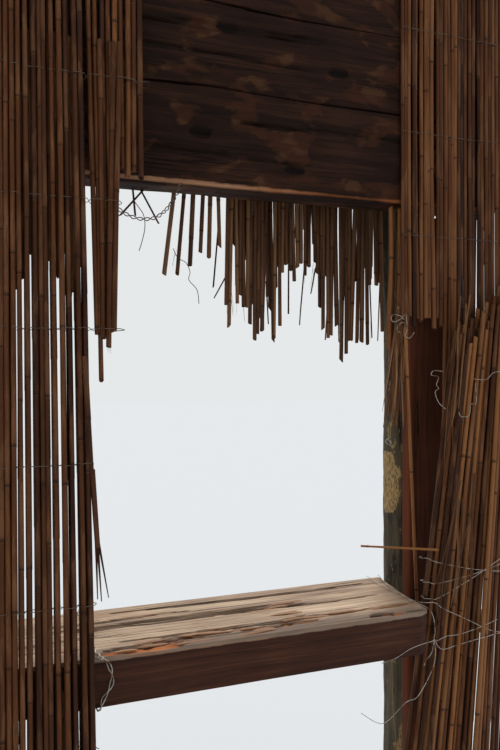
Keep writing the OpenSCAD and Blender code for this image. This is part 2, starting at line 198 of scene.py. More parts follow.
class Board:
    """A material's node tree, with short calls for the nodes that the finishes share."""

    def __init__(self, name: str, roughness: float, specular: float) -> None:
        """Starts a material with a plain shader.

        Args:
            name: the material's name.
            roughness: the shader's roughness.
            specular: its specular level.
        """
        self.material = bpy.data.materials.new(name)
        self.material.use_nodes = True
        self.tree = self.material.node_tree
        self.shader = self.tree.nodes["Principled BSDF"]
        self.shader.inputs["Roughness"].default_value = roughness
        self.shader.inputs["Specular IOR Level"].default_value = specular
        self.place = self.tree.nodes.new("ShaderNodeTexCoord").outputs["Object"]

    def node(self, kind: str, inputs: dict[str | int, Socket | float | tuple[float, ...]],
             **settings: str) -> bpy.types.Node:
        """Adds a node.

        Args:
            kind: its type, without ShaderNode.
            inputs: a socket or a constant for each input, by the input's name or number.
            settings: its other settings.

        Returns:
            The node.
        """
        node = self.tree.nodes.new(f"ShaderNode{kind}")
        for name, setting in settings.items():
            setattr(node, name, setting)
        for name, value in inputs.items():
            if isinstance(value, Socket):
                self.tree.links.new(value, node.inputs[name])
            else:
                node.inputs[name].default_value = value
        return node

    def noise(self, scale: Colour, detail: float = 4.0, rough: float = 0.55, swirl: float = 0.0) -> Socket:
        """Noise in object coordinates.

        Args:
            scale: how many times it repeats in a metre, by axis.
            detail: octaves of noise.
            rough: how strong the finer octaves are.
            swirl: distortion.

        Returns:
            The noise's factor.
        """
        place = self.node("Mapping", {"Vector": self.place, "Scale": scale}).outputs["Vector"]
        return self.node("TexNoise", {"Vector": place, "Scale": 1.0, "Detail": detail, "Roughness": rough,
                                      "Distortion": swirl}).outputs["Fac"]

    def attribute(self, name: str) -> Socket:
        """A number that the mesh carries at its vertices."""
        return self.node("Attribute", {}, attribute_name=name).outputs["Fac"]

    def coordinate(self, axis: Axis) -> Socket:
        """One object coordinate, in metres."""
        return self.node("SeparateXYZ", {0: self.place}).outputs[axis.value]

    def math(self, kind: str, *values: Socket | float) -> Socket:
        """An operation on numbers, such as ADD."""
        return self.node("Math", dict(enumerate(values)), operation=kind).outputs[0]

    def plus(self, first: Socket, second: Socket | float) -> Socket:
        """The sum of two numbers."""
        return self.math("ADD", first, second)

    def less(self, first: Socket | float, second: Socket | float) -> Socket:
        """The first number less the second."""
        return self.math("SUBTRACT", first, second)

    def times(self, first: Socket, second: Socket | float) -> Socket:
        """The product of two numbers."""
        return self.math("MULTIPLY", first, second)

    def most(self, first: Socket, second: Socket) -> Socket:
        """The larger of two numbers."""
        return self.math("MAXIMUM", first, second)

    def between(self, value: Socket, low: float, high: float) -> Socket:
        """Maps a value to 0 at low and 1 at high, held there beyond."""
        return self.node("MapRange", {"Value": value, "From Min": low, "From Max": high}).outputs["Result"]

    def lines(self, noise: Socket, low: float, high: float) -> Socket:
        """1 within low of the lines where a noise passes its middle, and 0 beyond high."""
        return self.less(1.0, self.between(self.math("ABSOLUTE", self.less(noise, 0.5)), low, high))

    def ramp(self, value: Socket, *stops: tuple[float, Colour]) -> Socket:
        """A colour ramp.

        Args:
            value: the number that runs along the ramp.
            stops: pairs of position and colour.

        Returns:
            The colour.
        """
        node = self.node("ValToRGB", {"Fac": value})
        bar = node.color_ramp
        while len(bar.elements) < len(stops):
            bar.elements.new(1.0)
        for element, (position, colour) in zip(bar.elements, stops):
            element.position = position
            element.color = (*colour, 1.0)
        return node.outputs["Color"]

    def mix(self, factor: Socket, first: Socket | Colour, second: Socket | Colour,
            share: float = 1.0) -> Socket:
        """Mixes two colours.

        Args:
            factor: how much of the second shows, 0 to 1.
            first: a colour or its socket.
            second: a colour or its socket.
            share: how much of the second shows at a factor of 1.

        Returns:
            The mixed colour.
        """
        if share < 1.0:
            factor = self.times(factor, share)
        first, second = ((*c, 1.0) if isinstance(c, tuple) else c for c in (first, second))
        return self.node("Mix", {0: factor, 6: first, 7: second}, data_type="RGBA").outputs[2]

    def finished(self, colour: Socket, height: Socket, depth: float, strength: float = 1.0
                 ) -> bpy.types.Material:
        """Links the base colour and a bump.

        Args:
            colour: the base colour.
            height: the surface's height, 0 to 1.
            depth: what a height of 1 is, in millimetres.
            strength: how much of it shows.

        Returns:
            The material.
        """
        bump = self.node("Bump", {"Strength": strength, "Distance": depth * MILLIMETRE, "Height": height})
        self.tree.links.new(colour, self.shader.inputs["Base Color"])
        self.tree.links.new(bump.outputs["Normal"], self.shader.inputs["Normal"])
        return self.material


@dataclass(frozen=True)
class ReedFinish:
    """Dry reed: each stalk has its own tone, with paler sheaths, dark joints, fine fibres and blotches."""

    name: str
    dark: Colour = (0.022, 0.007, 0.003)
    middle: Colour = (0.098, 0.033, 0.011)
    pale: Colour = (0.31, 0.128, 0.042)
    joint: Colour = (0.016, 0.006, 0.004)
    sheath: Colour = (0.235, 0.11, 0.05)
    mould: Colour = (0.034, 0.023, 0.016)

    def material(self) -> bpy.types.Material:
        """Builds the material."""
        board = Board(self.name, roughness=0.5, specular=0.13)
        rise = board.attribute("rise")
        fibre = board.noise((900.0, 900.0, 14.0), detail=3.0)
        blotch = board.noise((70.0, 70.0, 7.0), rough=0.6)
        tone = board.plus(board.attribute("tone"), board.times(blotch, 0.65))
        tone = board.plus(board.less(tone, 0.38), board.times(fibre, 0.22))
        base = board.ramp(tone, (0.05, self.dark), (0.5, self.middle), (0.98, self.pale))
        torn = board.noise((160.0, 160.0, 24.0), detail=2.0)
        edge = board.plus(rise, board.times(board.less(torn, 0.5), 0.5))
        sheath = board.times(board.between(edge, 0.5, 0.53), board.between(blotch, 0.4, 0.62))
        base = board.mix(sheath, base, self.sheath, 0.4)
        spots = board.noise((240.0, 240.0, 60.0), rough=0.7)
        base = board.mix(board.between(spots, 0.6, 0.7), base, self.mould, 0.4)
        streak = board.noise((420.0, 420.0, 5.0), detail=2.0)
        base = board.mix(board.between(streak, 0.6, 0.75), base, self.dark, 0.5)
        base = board.mix(board.between(rise, 0.975, 0.99), base, self.joint, 0.75)
        return board.finished(base, board.plus(fibre, sheath), 0.35, 0.7)


@dataclass(frozen=True)
class TimberFinish:
    """Old timber whose grain, checks and stains run along one axis."""

    name: str
    grain: Axis
    dark: Colour
    middle: Colour
    pale: Colour
    crack: Colour = (0.01, 0.006, 0.004)
    crack_share: float = 0.5
    roughness: float = 0.75
    specular: float = 0.25
    relief: float = 1.6

    def scale(self, across: float, along: float) -> Colour:
        """Repeats in a metre: one number across the grain and one along it."""
        return tuple(along if axis is self.grain else across for axis in Axis)

    def board(self) -> tuple[Board, Socket, Socket]:
        """Builds the shared part of the material.

        Returns:
            The node board, the wood's colour and its surface height.
        """
        board = Board(self.name, self.roughness, self.specular)
        fibre = board.noise(self.scale(420.0, 9.0), detail=5.0, rough=0.6, swirl=0.3)
        figure = board.noise(self.scale(38.0, 2.2), detail=5.0, rough=0.6, swirl=1.2)
        stain = board.noise((7.0, 7.0, 7.0), detail=3.0)
        value = board.plus(board.times(fibre, 0.35), board.times(figure, 0.45))
        value = board.plus(value, board.times(stain, 0.25))
        base = board.ramp(value, (0.36, self.dark), (0.52, self.middle), (0.68, self.pale))
        split = board.noise(self.scale(60.0, 1.6), detail=6.0, rough=0.5, swirl=0.5)
        gate = board.noise(self.scale(9.0, 1.2))
        gate = board.between(gate, 1.0 - self.crack_share, 1.08 - self.crack_share)
        crack = board.times(board.lines(split, 0.004, 0.016), gate)
        crack = board.most(crack, board.attribute("crack"))
        surface = board.less(board.plus(board.times(fibre, 0.5), figure), crack)
        return board, board.mix(crack, base, self.crack), surface

    def material(self) -> bpy.types.Material:
        """Builds the material."""
        board, base, surface = self.board()
        return board.finished(base, surface, self.relief, 0.8)


@dataclass(frozen=True)
class HeaderFinish(TimberFinish):
    """Nearly black slabs with browner flaked patches, and a painted band of warm light along the lower arris.
    """

    flake: Colour = (0.05, 0.017, 0.008)
    flake_pale: Colour = (0.088, 0.037, 0.016)
    knot: Colour = (0.004, 0.002, 0.001)
    # Colours of the painted light along the lower arris: orange-brown, paler towards the right end.
    lit_arris: Colour = (0.27, 0.085, 0.028)
    lit_arris_pale: Colour = (0.42, 0.215, 0.12)
    arris_z: float = 1.839
    arris_y: float = -0.1202
    arris_width: float = 0.0075

    def material(self) -> bpy.types.Material:
        """Builds the material."""
        board, base, surface = self.board()
        patch = board.noise((10.0, 10.0, 19.0), detail=5.0, rough=0.5, swirl=0.4)
        flaked = board.between(patch, 0.53, 0.58)
        fresh = board.noise((21.0, 21.0, 34.0), detail=3.0, rough=0.5)
        flake = board.mix(board.between(fresh, 0.5, 0.6), self.flake, self.flake_pale)
        base = board.mix(flaked, base, flake, 0.62)
        base = board.mix(board.between(board.attribute("knot"), 0.15, 0.75), base, self.knot)
        # Painted light: a warm band on the bottom and inner faces near the lower arris.
        top, back = self.arris_z + self.arris_width, self.arris_y + self.arris_width
        level = board.less(board.coordinate(Axis.Z), board.times(board.noise((38.0, 8.0, 8.0)), 0.006))
        painted_arris_light_and_lichen_tone = board.between(level, top, top - 0.003)
        front = board.between(board.coordinate(Axis.Y), back + 0.001, back - 0.003)
        along = board.plus(board.coordinate(Axis.X), board.times(patch, 0.2))
        lit_arris = board.mix(board.between(along, 0.8, 1.0), self.lit_arris_pale, self.lit_arris)
        base = board.mix(board.times(painted_arris_light_and_lichen_tone, front), base, lit_arris, 0.9)
        return board.finished(base, board.plus(surface, flaked), self.relief, 0.9)


@dataclass(frozen=True)
class SillFinish(TimberFinish):
    """A beam whose top is pale, partly weathered wood and partly painted sunlight, with orange splits, and
    whose faces are dark.
    """

    top_dark: Colour = (0.15, 0.098, 0.07)
    top_middle: Colour = (0.4, 0.275, 0.185)
    top_pale: Colour = (0.72, 0.54, 0.37)
    split: Colour = (0.47, 0.16, 0.05)
    weathered_and_shaded_band: Colour = (0.165, 0.122, 0.098)
    band_y: float = -0.235
    top_z: float = 1.1

    def material(self) -> bpy.types.Material:
        """Builds the material."""
        board, base, surface = self.board()
        fibre = board.noise(self.scale(300.0, 6.0), detail=6.0, rough=0.65, swirl=0.4)
        patch = board.noise(self.scale(22.0, 4.0), rough=0.6)
        value = board.plus(board.times(fibre, 0.55), board.times(patch, 0.5))
        # The top's colours: pale, partly weathered wood and partly painted sunlight.
        top = board.ramp(value, (0.38, self.top_dark), (0.52, self.top_middle), (0.7, self.top_pale))
        # A greyish band along the front of the top: partly weathering, partly painted shade.
        wander = board.times(board.noise((9.0, 20.0, 20.0)), -0.08)
        inward = board.plus(board.coordinate(Axis.Y), wander)
        grey = board.between(inward, self.band_y - 0.034, self.band_y - 0.046)
        grey = board.times(grey, board.between(fibre, 0.3, 0.62))
        top = board.mix(grey, top, self.weathered_and_shaded_band, 0.8)
        torn = board.between(board.attribute("bare"), 0.1, 0.5)
        bare = board.between(board.noise(self.scale(48.0, 3.0), detail=5.0), 0.6, 0.68)
        top = board.mix(board.most(board.times(bare, 0.3), torn), top, self.split)
        ragged = board.times(board.noise((30.0, 30.0, 30.0)), 0.005)
        level = board.plus(board.coordinate(Axis.Z), ragged)
        # The top's pale colours, partly painted sunlight, show only on the top, down to about 5 mm below it.
        shows = board.between(level, self.top_z - 0.0065, self.top_z - 0.0045)
        dark = board.noise(self.scale(55.0, 0.7), detail=3.0, rough=0.4, swirl=0.2)
        dark = board.times(board.lines(dark, 0.003, 0.011), 0.75)
        dark = board.most(dark, board.attribute("crack"))
        top = board.mix(dark, top, self.crack)
        surface = board.less(board.plus(surface, fibre), dark)
        return board.finished(board.mix(board.most(shows, torn), base, top), surface, self.relief)


@dataclass(frozen=True)
class PostFinish(TimberFinish):
    """A peeled log with patches of bark and lichen left on it."""

    bark: Colour = (0.034, 0.023, 0.014)
    lichen: Colour = (0.5, 0.34, 0.14)
    lichen_dark: Colour = (0.16, 0.1, 0.045)

    def material(self) -> bpy.types.Material:
        """Builds the material."""
        board, base, surface = self.board()
        patch = board.noise((24.0, 24.0, 7.0), detail=5.0, rough=0.6)
        base = board.mix(board.between(patch, 0.52, 0.58), base, self.bark)
        spot = board.noise((36.0, 36.0, 20.0), rough=0.65)
        base = board.mix(board.between(spot, 0.6, 0.67), base, self.lichen, 0.8)
        torn = board.noise((90.0, 90.0, 26.0), detail=5.0, rough=0.65)
        grown = board.plus(board.attribute("lichen"), board.times(board.less(torn, 0.5), 2.4))
        grit = board.noise((330.0, 330.0, 120.0), rough=0.65)
        painted_arris_light_and_lichen_tone = board.mix(board.between(grit, 0.38, 0.6), self.lichen_dark, self.lichen)
        base = board.mix(board.between(grown, 0.35, 0.6), base, painted_arris_light_and_lichen_tone)
        return board.finished(base, board.plus(surface, board.between(patch, 0.5, 0.6)), self.relief)


@dataclass(frozen=True)
class JambFinish(TimberFinish):
    """A dark board with painted sunlight, redder, along its edge beside the opening."""

    # The redder colour of the painted sunlight on the edge beside the opening.
    edge: Colour = (0.17, 0.042, 0.014)

    def material(self) -> bpy.types.Material:
        """Builds the material."""
        board, base, surface = self.board()
        # Painted sunlight along the edge beside the opening.
        painted_lit_edge = board.between(board.attribute("edge"), 0.05, 0.45)
        return board.finished(board.mix(painted_lit_edge, base, self.edge, 0.6), surface, self.relief, 0.8)


@dataclass(frozen=True)
class WireFinish:
    """Galvanized wire that has gone dull, with spots of rust."""

    name: str
    metal: Colour = (0.42, 0.38, 0.33)
    rust: Colour = (0.16, 0.075, 0.035)

    def material(self) -> bpy.types.Material:
        """Builds the material."""
        board = Board(self.name, roughness=0.45, specular=0.5)
        board.shader.inputs["Metallic"].default_value = 0.55
        spots = board.noise((90.0, 90.0, 90.0), detail=3.0)
        base = board.mix(board.between(spots, 0.5, 0.62), self.metal, self.rust)
        return board.finished(base, spots, 0.1, 0.5)


@dataclass(frozen=True)
class Rod:
    """A straight round piece of the CAD frame: its two ends and the radius at each, in metres."""

    foot: Vector
    top: Vector
    foot_radius: float
    top_radius: float

    @property
    def length(self) -> float:
        """The distance between its ends."""
        return (self.top - self.foot).length

    def share_at(self, height: float) -> float:
        """How far up the rod a height lies, 0 at its foot and 1 at its top."""
        return (height - self.foot.z) / (self.top.z - self.foot.z)

    def point(self, share: float) -> Vector:
        """A point of its axis."""
        return self.foot.lerp(self.top, share)

    def radius(self, share: float) -> float:
        """Its radius at a share of its length."""
        return self.foot_radius + (self.top_radius - self.foot_radius) * share


def rods_of(node_name: str) -> list[Rod]:
    """Reads the straight rods that a CAD node holds, from left to right.

    Args:
        node_name: the CAD node.

    Returns:
        One rod for each separate solid of the node, foot down or, if it lies level, to the left.
    """
    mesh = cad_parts[node_name].data
    spots: dict[tuple[int, ...], int] = {}
    where = [spots.setdefault(tuple(round(c * 1e6) for c in v.co), v.index) for v in mesh.vertices]
    leader = list(range(len(where)))

    def find(i: int) -> int:
        """The leader of a vertex's group."""
        while leader[i] != i:
            leader[i] = leader[leader[i]]
            i = leader[i]
        return i

    for polygon in mesh.polygons:
        corners = [where[i] for i in polygon.vertices]
        for corner in corners[1:]:
            leader[find(corner)] = find(corners[0])
    groups: dict[int, list[Vector]] = {}
    for i in set(where):
        groups.setdefault(find(i), []).append(mesh.vertices[i].co)
    rods = []
    for points in groups.values():
        start = max(points, key=lambda p: (p - points[0]).length)
        end = max(points, key=lambda p: (p - start).length)
        middle, way = (start + end) / 2, end - start
        if (way.z, way.x) < (-way.z, -way.x) and abs(way.z) > 0.01 or abs(way.z) <= 0.01 and way.x < 0:
            way = -way
        reach = way.length / 2 - 2 * MILLIMETRE
        along = way.normalized()
        rims = [[p for p in points if (p - middle).dot(along) * side > reach] for side in (-1, 1)]
        ends = [sum(rim, Vector()) / len(rim) for rim in rims]
        axis = (ends[1] - ends[0]).normalized()
        radii = [max((p - e).cross(axis).length for p in rim) for rim, e in zip(rims, ends)]
        rods.append(Rod(ends[0], ends[1], radii[0], radii[1]))
    return sorted(rods, key=lambda rod: rod.top.x)


@dataclass
class ReedPattern:
    """Models a long stalk once, for copies to be cut from: it steps out at each joint and thins above."""

    seed: int
    sides: int = 6
    length: float = 2.05
    radius: float = 0.0045
    joint_gap: tuple[float, float] = (0.17, 0.29)
    joint_swell: float = 1.09
    joint_rise: float = 0.003
    joint_near: float = 0.0005
    lowest_joint: float = 0.05
    kink: float = 0.0004

    def model(self) -> bpy.types.Object:
        """Extrudes the stalk joint by joint, foot at the origin and running up Z.

        Returns:
            The pattern object. Its vertices carry "rise": 1 just above a joint, 0 just below the next.
        """
        chance = random.Random(self.seed)
        height = chance.uniform(self.lowest_joint, self.joint_gap[1])
        bpy.ops.object.select_all(action="DESELECT")
        bpy.ops.mesh.primitive_cylinder_add(vertices=self.sides, radius=self.radius, depth=height,
                                            location=(0.0, 0.0, height / 2), end_fill_type="NGON")
        stalk = bpy.context.object
        stalk.name = f"reed_pattern_{self.seed}"
        pick_faces(stalk, lambda face: face.normal.z > UPWARD)
        joints = []
        while height < self.length:
            self.raise_ring(self.joint_rise, self.joint_swell)
            joints.append(height + self.joint_rise)
            run = chance.uniform(*self.joint_gap)
            self.raise_ring(run, 1.0 / self.joint_swell)
            aside = (chance.gauss(0.0, self.kink), chance.gauss(0.0, self.kink), 0.0)
            bpy.ops.transform.translate(value=aside)
            height += self.joint_rise + run
        bpy.ops.object.mode_set(mode="OBJECT")
        bpy.ops.object.transform_apply(location=True, rotation=True, scale=True)
        mark(stalk, "rise", [float(any(abs(v.co.z - joint) < self.joint_near for joint in joints))
                             for v in stalk.data.vertices])
        return stalk

    @staticmethod
    def raise_ring(distance: float, scale: float) -> None:
        """Extrudes the selected end face up, then scales it sideways.

        Args:
            distance: how far up.
            scale: how much wider.
        """
        bpy.ops.mesh.extrude_region_move(TRANSFORM_OT_translate={"value": (0.0, 0.0, distance)})
        bpy.ops.transform.resize(value=(scale, scale, 1.0))


@dataclass(frozen=True)
class Swing:
    """How the free lower ends of a row swing sideways, most at the row's left edge."""

    hinge: float
    start: float
    end: float
    slope: float
    scatter: float = 0.012

    def at(self, x: float, chance: random.Random) -> float:
        """How far the reed at an X swings to the left per unit of height."""
        share = min(1.0, max(0.0, (self.end - x) / (self.end - self.start)))
        return self.slope * share + chance.gauss(0.0, self.scatter)


@dataclass(frozen=True)
class Lay:
    """How loosely one row of reeds lies, and how dark it is."""

    tones: tuple[float, float]
    sway: float = 0.15
    bow: float = 0.001
    slant: float = 0.3
    trim: tuple[float, float] = (0.0, 0.0)
    swing: Swing | None = None


@dataclass
class ReedWork:
    """Cuts copies of the patterns to length and sets them on the CAD rods, one mesh a node."""

    patterns: list[bpy.types.Object]
    seed: int = 5
    stock: float = 2.0
    spare: tuple[float, float] = (0.02, 0.03)
    bore: float = 0.68
    hollow: float = 0.008
    pattern_radius: float = 0.0045
    sharp: float = 65.0
    chance: random.Random = field(init=False)

    def __post_init__(self) -> None:
        """Seeds the work's own random numbers."""
        self.chance = random.Random(self.seed)

    def cut(self, height: float, slant: float, lower: bool) -> None:
        """Cuts the reed that is being edited, and hollows the cut end.

        Args:
            height: where the cut is.
            slant: how far the cut may be tilted, in radians.
            lower: whether this makes the lower end.
        """
        bpy.ops.mesh.select_all(action="SELECT")
        tilt = self.chance.uniform(-slant, slant)
        turn = self.chance.uniform(0.0, math.tau)
        normal = (math.sin(tilt) * math.cos(turn), math.sin(tilt) * math.sin(turn), math.cos(tilt))
        bpy.ops.mesh.bisect(plane_co=(0.0, 0.0, height), plane_no=normal, use_fill=True,
                            clear_inner=lower, clear_outer=not lower)
        bpy.ops.mesh.mark_sharp()
        bpy.ops.mesh.extrude_region_move(TRANSFORM_OT_translate={"value": (0.0, 0.0, 0.0)})
        bpy.ops.transform.resize(value=(self.bore, self.bore, 1.0))
        way = self.hollow if lower else -self.hollow
        bpy.ops.mesh.extrude_region_move(TRANSFORM_OT_translate={"value": (0.0, 0.0, way)})

    def copy(self, rod: Rod, name: str, lay: Lay) -> bpy.types.Object:
        """One reed on one rod's line.

        Args:
            rod: the line, and the radius at its ends.
            name: the new object's name.
            lay: how it lies.

        Returns:
            The reed.
        """
        pattern = self.chance.choice(self.patterns)
        reed = copy_of(pattern.data, name)
        start = self.chance.uniform(self.spare[0], max(self.spare[1], self.stock - rod.length))
        edit(reed)
        self.cut(start + self.chance.uniform(*lay.trim), lay.slant, True)
        self.cut(start + rod.length, lay.slant, False)
        if lay.swing:
            bpy.ops.mesh.select_all(action="SELECT")
            bpy.ops.mesh.bisect(plane_co=(0.0, 0.0, start + lay.swing.hinge - rod.foot.z),
                                plane_no=(0.0, 0.0, 1.0))
        bpy.ops.object.mode_set(mode="OBJECT")
        mark(reed, "tone", self.chance.uniform(*lay.tones))
        line = (rod.top - rod.foot).to_track_quat("Z", "Y")
        spin = Matrix.Rotation(self.chance.uniform(0.0, math.tau), 3, "Z")
        lean = math.tan(math.radians(self.chance.gauss(0.0, lay.sway)))
        bow = self.chance.gauss(0.0, lay.bow)
        slope = lay.swing.at(rod.top.x, self.chance) if lay.swing else 0.0
        for vertex in reed.data.vertices:
            share = (vertex.co.z - start) / rod.length
            grow = rod.radius(share) / self.pattern_radius
            point = spin @ Vector((vertex.co.x * grow, vertex.co.y * grow, 0.0))
            point.x += lean * (share - 0.5) * rod.length + bow * math.sin(math.pi * share)
            point.z = share * rod.length
            place = rod.foot + line @ point
            if lay.swing:
                place.x -= slope * max(0.0, lay.swing.hinge - place.z)
            vertex.co = place
        return reed

    def lay(self, node: str, lay: Lay, material: bpy.types.Material) -> None:
        """Sets a reed on each rod of a CAD node.

        Args:
            node: the CAD node.
            lay: how its reeds lie.
            material: their finish.
        """
        self.set_on(f"{node}_dressed", rods_of(node), lay, material, node)

    def set_on(self, name: str, rods: list[Rod], lay: Lay, material: bpy.types.Material, *nodes: str) -> None:
        """Sets a reed on each rod, joins them and dresses the piece.

        Args:
            name: the piece's name.
            rods: the lines of its reeds.
            lay: how they lie.
            material: their finish.
            nodes: the CAD nodes that the piece stands for.
        """
        reeds = [self.copy(rod, f"{name}_{i}", lay) for i, rod in enumerate(rods)]
        dress(name, reeds, self.sharp, material, Slot.REED, *nodes)


@dataclass
class WireWork:
    """Bends wires from points, and twines them through the mats row by row."""

    material: bpy.types.Material
    radius: float = 0.0006
    seed: int = 9
    slit: float = 0.0012
    apart: float = 0.012
    bunch: float = 0.034
    margin: float = 0.004
    change: float = 0.003
    steps: int = 6
    shake: float = 0.0004
    drift: float = 0.0006
    sharp: float = 60.0
    chance: random.Random = field(init=False)

    def __post_init__(self) -> None:
        """Seeds the work's own random numbers."""
        self.chance = random.Random(self.seed)

    def wire(self, points: list[Vector], radius: float) -> bpy.types.Object:
        """One wire along a row of points.

        Args:
            points: its line.
            radius: half its diameter.

        Returns:
            The wire as a mesh object.
        """
        curve = bpy.data.curves.new("wire", "CURVE")
        curve.dimensions = "3D"
        curve.bevel_depth = radius
        curve.bevel_resolution = 1
        curve.use_fill_caps = True
        spline = curve.splines.new("POLY")
        spline.points.add(len(points) - 1)
        for place, point in zip(spline.points, points):
            place.co = (*point, 1.0)
        wire = bpy.data.objects.new("wire", curve)
        bpy.context.collection.objects.link(wire)
        select_only(wire)
        bpy.ops.object.convert(target="MESH")
        return bpy.context.object

    def join(self, name: str, wires: list[bpy.types.Object], *nodes: str) -> None:
        """Joins wires into one dressed piece."""
        dress(name, wires, self.sharp, self.material, Slot.WIRE, *nodes)

    def crossings(self, reeds: list[Rod], height: float, low: float, high: float) -> list[float]:
        """Where the two wires of a row cross: in the slits, and between wide bunches.

        Args:
            reeds: the mat's reeds.
            height: the row's height.
            low: the row's left end.
            high: the row's right end.

        Returns:
            The X of each crossing, from left to right.
        """
        spans = []
        for reed in reeds:
            share = reed.share_at(height)
            if 0.0 < share < 1.0:
                x, r = reed.point(share).x, reed.radius(share)
                spans.append((x - r, x + r))
        places = []
        last = reach = low
        for start, end in sorted(spans):
            gap = start - reach
            if start > last + self.apart and (gap > self.slit or start - last > self.bunch):
                places.append((start + reach) / 2)
                last = start
            reach = max(reach, end)
        return [x for x in places if low + self.margin < x < high - self.margin]

    def twined(self, node: str, *reed_nodes: str) -> None:
        """Replaces a mat's pairs of straight wires by pairs that are twined between its reeds.

        Args:
            node: the CAD node that holds the straight wires.
            reed_nodes: the CAD nodes of the reeds that they bind.
        """
        reeds = [rod for name in reed_nodes for rod in rods_of(name)]
        rods = sorted(rods_of(node), key=lambda rod: (round(rod.foot.z / 0.02), rod.foot.y))
        wires = []
        for front, back in zip(rods[0::2], rods[1::2]):
            if front.foot.y > back.foot.y:
                front, back = back, front
            low, high = front.foot.x, front.top.x
            height = (front.foot.z + back.foot.z) / 2
            crossings = self.crossings(reeds, height, low, high)
            for pair in ((front, back), (back, front)):
                wires.append(self.wire(self.strand(pair, crossings, low, high), self.radius))
        self.join(f"{node}_dressed", wires, node)

    def strand(self, pair: tuple[Rod, Rod], crossings: list[float], low: float, high: float) -> list[Vector]:
        """One strand of a twined pair: it changes sides at every crossing.

        Args:
            pair: the line that it starts on, and the other one.
            crossings: where it changes over.
            low: the row's left end.
            high: the row's right end.

        Returns:
            The strand's points.
        """
        points = []
        side = 0
        rise = 0.0
        stops = [low, *crossings, high]
        for start, end in zip(stops, stops[1:]):
            run = end - start
            for step in range(self.steps + 1):
                x = start + run * step / self.steps
                share = (x - low) / (high - low)
                point = pair[side].point(share)
                other = pair[1 - side].point(share)
                near = min(x - start, end - x)
                if near < self.change and (x - start > self.change or start > low):
                    point = point.lerp(other, 0.5 - near / (2 * self.change))
                points.append(point + Vector((0.0, 0.0, rise + self.chance.gauss(0.0, self.shake))))
            side = 1 - side
            rise = self.chance.gauss(0.0, self.drift)
        return points


@dataclass(frozen=True)
class Mat:
    """A mat: how each of its rows of reeds lies, and which wires bind which rows."""

    rows: tuple[tuple[str, Lay], ...]
    bindings: tuple[tuple[str, ...], ...]

    def build(self, work: ReedWork, wires: WireWork, finish: bpy.types.Material) -> None:
        """Lays the reeds and twines the wires.

        Args:
            work: lays reeds.
            wires: bends wires.
            finish: the reeds' material.
        """
        for node, lay in self.rows:
            work.lay(node, lay, finish)
        for nodes in self.bindings:
            wires.twined(*nodes)


@dataclass(frozen=True)
class LeftMat(Mat):
    """The left mat, hung from the plate: two layers of long reeds, a broken part, and the skirt under it."""

    rows: tuple[tuple[str, Lay], ...] = (
        ("left_mat_front_reeds", Lay((0.05, 0.62), sway=0.03, bow=0.0006)),
        ("left_mat_back_reeds", Lay((0.0, 0.35), sway=0.03, bow=0.0006)),
        ("left_mat_short_reeds", Lay((0.1, 0.62), sway=0.18, bow=0.0015, slant=0.6, trim=(0.009, 0.016))),
        ("left_skirt_reeds", Lay((0.05, 0.58), sway=0.1)))
    bindings: tuple[tuple[str, ...], ...] = (
        ("left_mat_wires", "left_mat_front_reeds", "left_mat_back_reeds", "left_mat_short_reeds"),
        ("left_skirt_wires", "left_skirt_reeds"))


@dataclass(frozen=True)
class RightMat(Mat):
    """The right mat, the sheaf that stands before it, and the reeds that have worked loose beside it."""

    rows: tuple[tuple[str, Lay], ...] = (
        ("right_mat_short_reeds", Lay((0.08, 0.62), sway=0.12, bow=0.0022, slant=0.5)),
        ("right_mat_long_reeds", Lay((0.04, 0.6), sway=0.12, bow=0.0022, slant=0.5)),
        # The sheaf's tones run paler than the mats': painted sunlight on the sheaf.
        ("right_sheaf_reeds", Lay((0.12, 0.88), sway=0.2, bow=0.004, slant=0.7)),
        ("loose_post_reeds", Lay((0.55, 0.95), sway=0.1, bow=0.003, slant=0.8)))
    bindings: tuple[tuple[str, ...], ...] = (
        ("right_mat_wires", "right_mat_short_reeds", "right_mat_long_reeds"),)


@dataclass(frozen=True)
class OuterMat(Mat):
    """The mat on the wall's outer side, trimmed under the header's height, with the fringe left on it."""

    rows: tuple[tuple[str, Lay], ...] = (
        ("eaves_mat_reeds", Lay((0.3, 0.8), sway=0.08, trim=(0.016, 0.024))),
        ("eaves_fringe_reeds", Lay((0.22, 0.7), sway=0.05, bow=0.0012, slant=0.8, trim=(-0.016, 0.014),
                                   swing=Swing(hinge=1.88, start=0.649, end=0.76, slope=0.115))))
    bindings: tuple[tuple[str, ...], ...] = (("eaves_mat_wires", "eaves_mat_reeds", "eaves_fringe_reeds"),)


@dataclass(frozen=True)
class Stalks:
    """A few single stalks of one thickness, each from its foot to its top."""

    name: str
    radius: float
    lay: Lay
    ends: tuple[tuple[Place, Place], ...]
    taper: float = 1.0

    def rods(self) -> list[Rod]:
        """Their lines."""
        return [Rod(Vector(foot), Vector(top), self.radius * self.taper, self.radius)
                for foot, top in self.ends]


